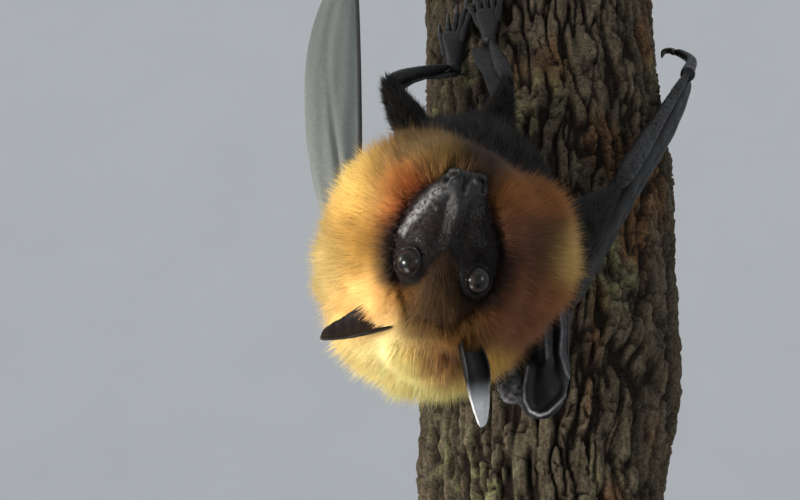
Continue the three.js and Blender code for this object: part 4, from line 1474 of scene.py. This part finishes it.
fingers = limb("wing_fingers", FINGERS, sides=60, rings=90, section=finger_folds)
wing_tip = limb("wing_tip", WING_TIP, sides=130, rings=110, section=tip_folds)
CRUMPLE = [(35, 77, 30, 3, 2), (30, 72, 16, 6, 3.4), (27.5, 67, 3, 6.6, 3.4), (29, 63, -8, 5, 2.6)]
crumple = limb("crumple", CRUMPLE, sides=60, rings=60)

# %% Folds and rims of the wing tip
RIM_LOW = (38.1, -51.1)
RIMS = [  # lines along the folds, in millimetres as seen at the head's distance
    [(36.3, -10), (37, -22.2), (37.7, -30.7)],
    [(41.8, -8), (43.3, -20.4), (42.6, -28.5), (44.8, -35.9), (46.6, -38.9), (46, -43), (42, -47.6), RIM_LOW],
    [RIM_LOW, (35, -52), (31.5, -50.4), (29.4, -46.3), (29.2, -41), (30.5, -34)],
]


def rim_distance(points):
    """How far from the nearest rim each place looks to the camera."""
    looked_at = flattened(seen(points))
    return np.min([distance_to_line(looked_at, line) for line in RIMS], axis=0)


places = from_frame(read_points(wing_tip))
towards_viewer = smoothstep(0.0, 0.5, -read_normals(wing_tip) @ AWAY)
gap = rim_distance(places)
lift = 0.9 * mound(gap, 0, 0.7) - 1.5 * smoothstep(0.8, 3.5, gap)
lift += 0.8 * (value_noise(places * (1, 1, 0.5), 5, 44) - 0.5)
places = places + read_normals(wing_tip) * (lift * towards_viewer)[:, None]
write_points(wing_tip, to_frame(relax(places, read_edges(wing_tip), 3)))
places = from_frame(read_points(crumple))
creased = np.abs(value_noise(places * (1, 1, 0.8), 3.6, 45) - 0.5)
creased += 0.5 * np.abs(value_noise(places, 1.8, 46) - 0.5)
lift = 3.2 * (0.2 - creased)
write_points(crumple, to_frame(places + read_normals(crumple) * lift[:, None]))
wing_tip = joined("wing_tip", [wing_tip, crumple])


def dark_membrane(points):
    cloud = value_noise(points, 8, 22)[:, None]
    return linear(14, 13, 13) * (0.8 + 0.5 * cloud)


PALE_GREY = linear(150, 148, 150)


def tip_colour(points):
    # The pale lines along the fold edges are painted highlights; the crumple also turns paler grey towards
    # the left.
    rim = 0.8 * mound(rim_distance(points), 0, 0.42)
    grey_to_the_left = 0.6 * smoothstep(32, 26, points[:, 0]) * value_noise(points, 2, 47)
    share = np.clip(rim * (0.4 + 0.6 * value_noise(points, 3, 48)) + grey_to_the_left, 0, 1)[:, None]
    dark = 0.6 * dark_membrane(points)
    return dark + (PALE_GREY - dark) * share


dress_membrane(fingers, dark_membrane, "wing_fingers_right")
dress_membrane(wing_tip, tip_colour, "wing_tip_right")

# %% Slack sheets between arm and flank
SHEET_THICKNESS = 0.7
FLANK = {  # inner and outer edge of each sheet
    "right": (
        [(28, 66, 40), (38, 70, 66), (42, 74, 92), (38, 78, 120)],
        [(40, 64, 50), (54, 70, 70), (68, 76, 92), (79, 80, 112)],
    ),
    "left": (
        [(-24, 66, 50), (-26, 70, 80), (-22, 74, 112), (-12, 78, 142)],
        [(-34, 62, 58), (-44, 70, 84), (-52, 76, 112), (-57, 80, 138)],
    ),
}
CURVE_STEPS = np.arange(200)


def curve_at(rows, share):
    """Places on the smooth curve through rows, at shares from 0 to 1."""
    step = share * CURVE_STEPS[-1]
    columns = through(rows, len(CURVE_STEPS)).T
    return np.stack([np.interp(step, CURVE_STEPS, column) for column in columns], 1)


def arm_membrane(hand):
    inner, outer = FLANK[hand]

    def place(u, v):
        point = curve_at(inner, v) * (1 - u)[:, None] + curve_at(outer, v) * u[:, None]
        slack = 4 * u * (1 - u)
        point[:, 2] -= slack * 10 * v
        point[:, 1] += slack * (3 * np.sin((v - 0.5) * 12) + 0.5 * np.sin(26 * u + 5 * v))
        return point

    piece = sheet("arm_membrane_sheet_" + hand, place, 26, 40, SHEET_THICKNESS)
    dress_membrane(piece, dark_membrane, "arm_membrane_" + hand)
    return piece


HIP = {"right": (18, 66, 140), "left": (-6, 66, 146)}
KNEE = {"right": (31, 48, 181), "left": (-30, 52, 187)}
ANKLE = {"right": (23, 62, 240), "left": (5, 79, 238)}


def tail_membrane(hand):
    leg = [HIP[hand], KNEE[hand], ANKLE[hand]]

    def place(u, v):
        along = 0.3 + 0.66 * v
        point = curve_at(leg, along)
        width = 9 * np.sin(math.pi * np.minimum(1, 1.25 - along)) + 3
        point[:, 0] -= HAND_SIGN[hand] * u * width
        point[:, 1] += 3 + 2 * u + 0.5 * np.sin(20 * v) * u
        return point

    piece = sheet("tail_membrane_sheet_" + hand, place, 10, 40, SHEET_THICKNESS)
    dress_membrane(piece, dark_membrane, "tail_membrane_" + hand)
    return piece


sheets = [make(hand) for make in (arm_membrane, tail_membrane) for hand in HAND_SIGN]
print("wing pieces:", 3 + len(sheets))

# %% [markdown]
# ## Feet, thumbs and claws
# The feet are lofted toe by toe and lie on the bark, five toes to a foot, each with a hooked
# claw. They join the skin, and so do the thumbs. The claws are horn and stay pieces of their own:
# one curved taper, repeated by a loop.

# %% Feet and thumbs
TOES = 5
FOOT_LENGTH, TOE_LENGTH = 22, 17
ROOT_SPREAD, END_SPREAD = 11, 19  # from the first toe to the last
FOOT_TURN = 1.5  # how far the toes lean towards the middle
TOE_ROWS = (  # share of its length, half thickness, height over the bark
    (-0.45, 2.2, 3.6), (0, 2.1, 4.4), (0.3, 1.7, 4.6), (0.5, 2.05, 4.8), (0.75, 1.55, 4.2), (1, 1.75, 3.4),
)
THUMB_THICKNESS = ((4.6, 4.8), (3.8, 3.8), (3, 3), (2.4, 2.4), (2, 2))  # half width, half depth
THUMB = {
    "right": ((135, 99, 256), (136.5, 102.5, 264), (141, 107, 280), (138, 112, 294), (134.8, 114, 298.6)),
    "left": ((-26, 52, 14), (-28, 56, 10.5), (-33, 65, 13), (-35, 72, 21), (-33, 76, 29.6)),
}


def thickened(places, thickness):
    """The rows of a limb, from its places and its half widths and thicknesses."""
    return [(*place, *thick) for place, thick in zip(places, thickness)]


def on_bark(side, height, lift, wide, thick):
    """A row of a limb whose middle lies at this lift over the bark."""
    return side, bark_front(side, height, lift), height, wide, thick


def toe_ends(hand, toe):
    """Root and end of a toe on the bark: side and height of each."""
    x, _, z = ANKLE[hand]
    spread = (toe - (TOES - 1) / 2) / (TOES - 1)
    root_height = z + FOOT_LENGTH - 4
    root_side = x + spread * ROOT_SPREAD
    end_side = x + spread * END_SPREAD - HAND_SIGN[hand] * FOOT_TURN
    return root_side, root_height, end_side, root_height + TOE_LENGTH - 3 * abs(spread)


def foot_parts(hand):
    x, y, z = ANKLE[hand]
    palm = [
        (x, y, z - 6, 3.9, 4),
        (x, y + 0.5, z + 1, 3.9, 4),
        on_bark(x, z + 11, 5.5, 5.6, 3.8),
        on_bark(x, z + FOOT_LENGTH, 4.6, 7.2, 2.8),
    ]
    parts = [limb("palm", palm, sides=24, rings=28)]
    for toe in range(TOES):
        root_side, root_height, end_side, end_height = toe_ends(hand, toe)
        rows = []
        for share, thick, lift in TOE_ROWS:
            side = root_side + (end_side - root_side) * share
            height = root_height + (end_height - root_height) * share
            rows.append(on_bark(side, height, lift, thick, thick))
        parts.append(limb("toe", rows, sides=14, rings=26))
    return parts


extremities = [part for hand in ANKLE for part in foot_parts(hand)]
for places in THUMB.values():
    extremities.append(limb("thumb", thickened(places, THUMB_THICKNESS), sides=20, rings=36))
for part in extremities:
    places = read_points(part)
    pleat = 0.2 * MM * (value_noise(from_frame(places), 1.6, 31) - 0.5)
    write_points(part, places + read_normals(part) * pleat[:, None])
    write_colours(part, "Coat", np.tile(BLACK_SKIN * 1.3, (len(places), 1)))
    write_colours(part, "Naked", np.ones((len(places), 3)))
    wear(part, skin_material)
skin = joined("skin", [skin, *extremities])
skin.data.uv_layers.remove(skin.data.uv_layers["OFBake"])

# %% Claws
CLAW_ROWS = (  # height over the toe's end, height over the bark, half thickness
    (-1.5, 3.5, 1.2), (2, 4.3, 1.25), (4.5, 4.2, 1.0), (6.5, 2.9, 0.6), (7.6, 1.2, 0.15),
)
THUMB_CLAW_THICKNESS = ((1.9, 2.3), (1.8, 2.2), (1.4, 1.8), (0.3, 0.4))
THUMB_CLAW = {
    "right": ((134.8, 114, 297.6), (132.8, 115, 301.4), (129, 116, 301.8), (127, 117.2, 297)),
    "left": ((-33, 75.6, 28.6), (-32, 78, 33), (-30, 80.6, 34.6), (-27.4, 83.6, 32.4)),
}
HORN = linear(30, 26, 24)
claw_material = shade_material("claw_horn", 800.0, 0.2, (0.22, 0.38), 500.0, 0.0001, Specular_IOR_Level=0.6)


def toe_claw(hand, toe):
    _, _, side, height = toe_ends(hand, toe)
    rows = [on_bark(side, height + up, lift, thick * 0.8, thick) for up, lift, thick in CLAW_ROWS]
    return limb("claw", rows, sides=12, rings=18)


claw_parts = [toe_claw(hand, toe) for hand in ANKLE for toe in range(TOES)]
for places in THUMB_CLAW.values():
    rows = thickened(places, THUMB_CLAW_THICKNESS)
    claw_parts.append(limb("claw", rows, side=np.array((0, 1.0, 0)), sides=14, rings=22))
claws = joined("claws", claw_parts)
paint(claws, lambda points: HORN * (0.9 + 0.5 * value_noise(points, 3, 32))[:, None])
dress(claws, claw_material, "claw", "thumb_claw_left", "thumb_claw_right")
print("claws:", len(claw_parts))

# %% [markdown]
# ## Display stand
# A museum mount stays quiet: a dark stained board and two plain steel rods. The board keeps its
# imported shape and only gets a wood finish, with the grain along its length. Each rod is a
# cylinder with a collar where it enters the board and another under the log: rings of faces near
# both ends are pushed out, and bevels round the edges.

# %% Stained board
wood_material, tree, shader = start_material(
    "stained_board", Roughness=0.42, Coat_Weight=0.25, Coat_Roughness=0.25
)
bands = {"wave_type": "BANDS", "bands_direction": "X"}
grain = add(tree, "TexWave", bands, Scale=5.0, Distortion=9.0, Detail=3.0)
join(tree, object_places(tree, (9.0, 1.0, 9.0)), grain.inputs["Vector"])
vein, middle, pale = linear(52, 32, 20), linear(84, 54, 34), linear(104, 70, 44)
board_colour = ramp(tree, grain.outputs["Fac"], (0.1, vein), (0.5, middle), (0.95, pale))
pores = noise(tree, object_places(tree, (6.0, 0.6, 6.0)), 160.0)
pore_tone = ramp(tree, pores, (0.35, (0.7, 0.7, 0.7)), (0.55, (1, 1, 1)))
toned(tree, shader, board_colour, pore_tone, 0.8)
bump(tree, shader, pores, 0.15, 0.0003)
wear(frame["nodes"]["stand_base"], wood_material)

# %% Turned rods
ROD_RADIUS = 5.9
COLLAR_HEIGHT, COLLAR_RISE = 7, 3.2
BEVEL_WIDTH = 0.8
steel_material, tree, shader = start_material("brushed_steel", Metallic=1.0)
brush = noise(tree, object_places(tree, (1, 1, 40.0)), 120.0)
join(tree, levels(tree, brush, 0.3, 0.7, 0.22, 0.4), shader.inputs["Roughness"])
steel_colour = ramp(tree, brush, (0.3, (0.52, 0.53, 0.54)), (0.7, (0.64, 0.65, 0.66)))
join(tree, steel_colour, shader.inputs["Base Color"])


def stand_rod(hand):
    low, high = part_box("stand_rod_" + hand)
    middle = (low + high) / 2
    bpy.ops.object.select_all(action="DESELECT")
    bpy.ops.mesh.primitive_cylinder_add(
        vertices=40, radius=ROD_RADIUS * MM, depth=high.z - low.z, location=middle
    )
    rod = bpy.context.active_object
    rod.name = "steel_rod_" + hand
    select_only(rod)
    bpy.ops.object.transform_apply(location=True, rotation=True, scale=True)
    for cut in (low.z + COLLAR_HEIGHT * MM, high.z - COLLAR_HEIGHT * MM):
        edit_whole(rod, bpy.ops.mesh.bisect, plane_co=(0, 0, cut), plane_no=(0, 0, 1))
    collars = []
    for face in rod.data.polygons:
        near_end = min(face.center.z - low.z, high.z - face.center.z) < COLLAR_HEIGHT * MM
        collars.append(near_end and abs(face.normal.z) < 0.5)
    edit_chosen(rod, "polygons", collars)
    bpy.ops.mesh.extrude_region_shrink_fatten(TRANSFORM_OT_shrink_fatten={"value": COLLAR_RISE * MM})
    bpy.ops.object.mode_set(mode="OBJECT")
    bend = math.radians(50)
    modify(rod, "BEVEL", width=BEVEL_WIDTH * MM, segments=3, limit_method="ANGLE", angle_limit=bend)
    outward(rod)
    select_only(rod)
    bpy.ops.object.shade_smooth_by_angle(angle=math.radians(40))
    dress(rod, steel_material, "stand_steel", "stand_rod_" + hand)
    return rod


rods = [stand_rod(hand) for hand in HAND_SIGN]
print("rod points:", len(rods[0].data.vertices))

# %% Skin stands for the flesh
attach(skin, "root")
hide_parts(*PARTS, "foot_left", "foot_right", "thumb_left", "thumb_right")
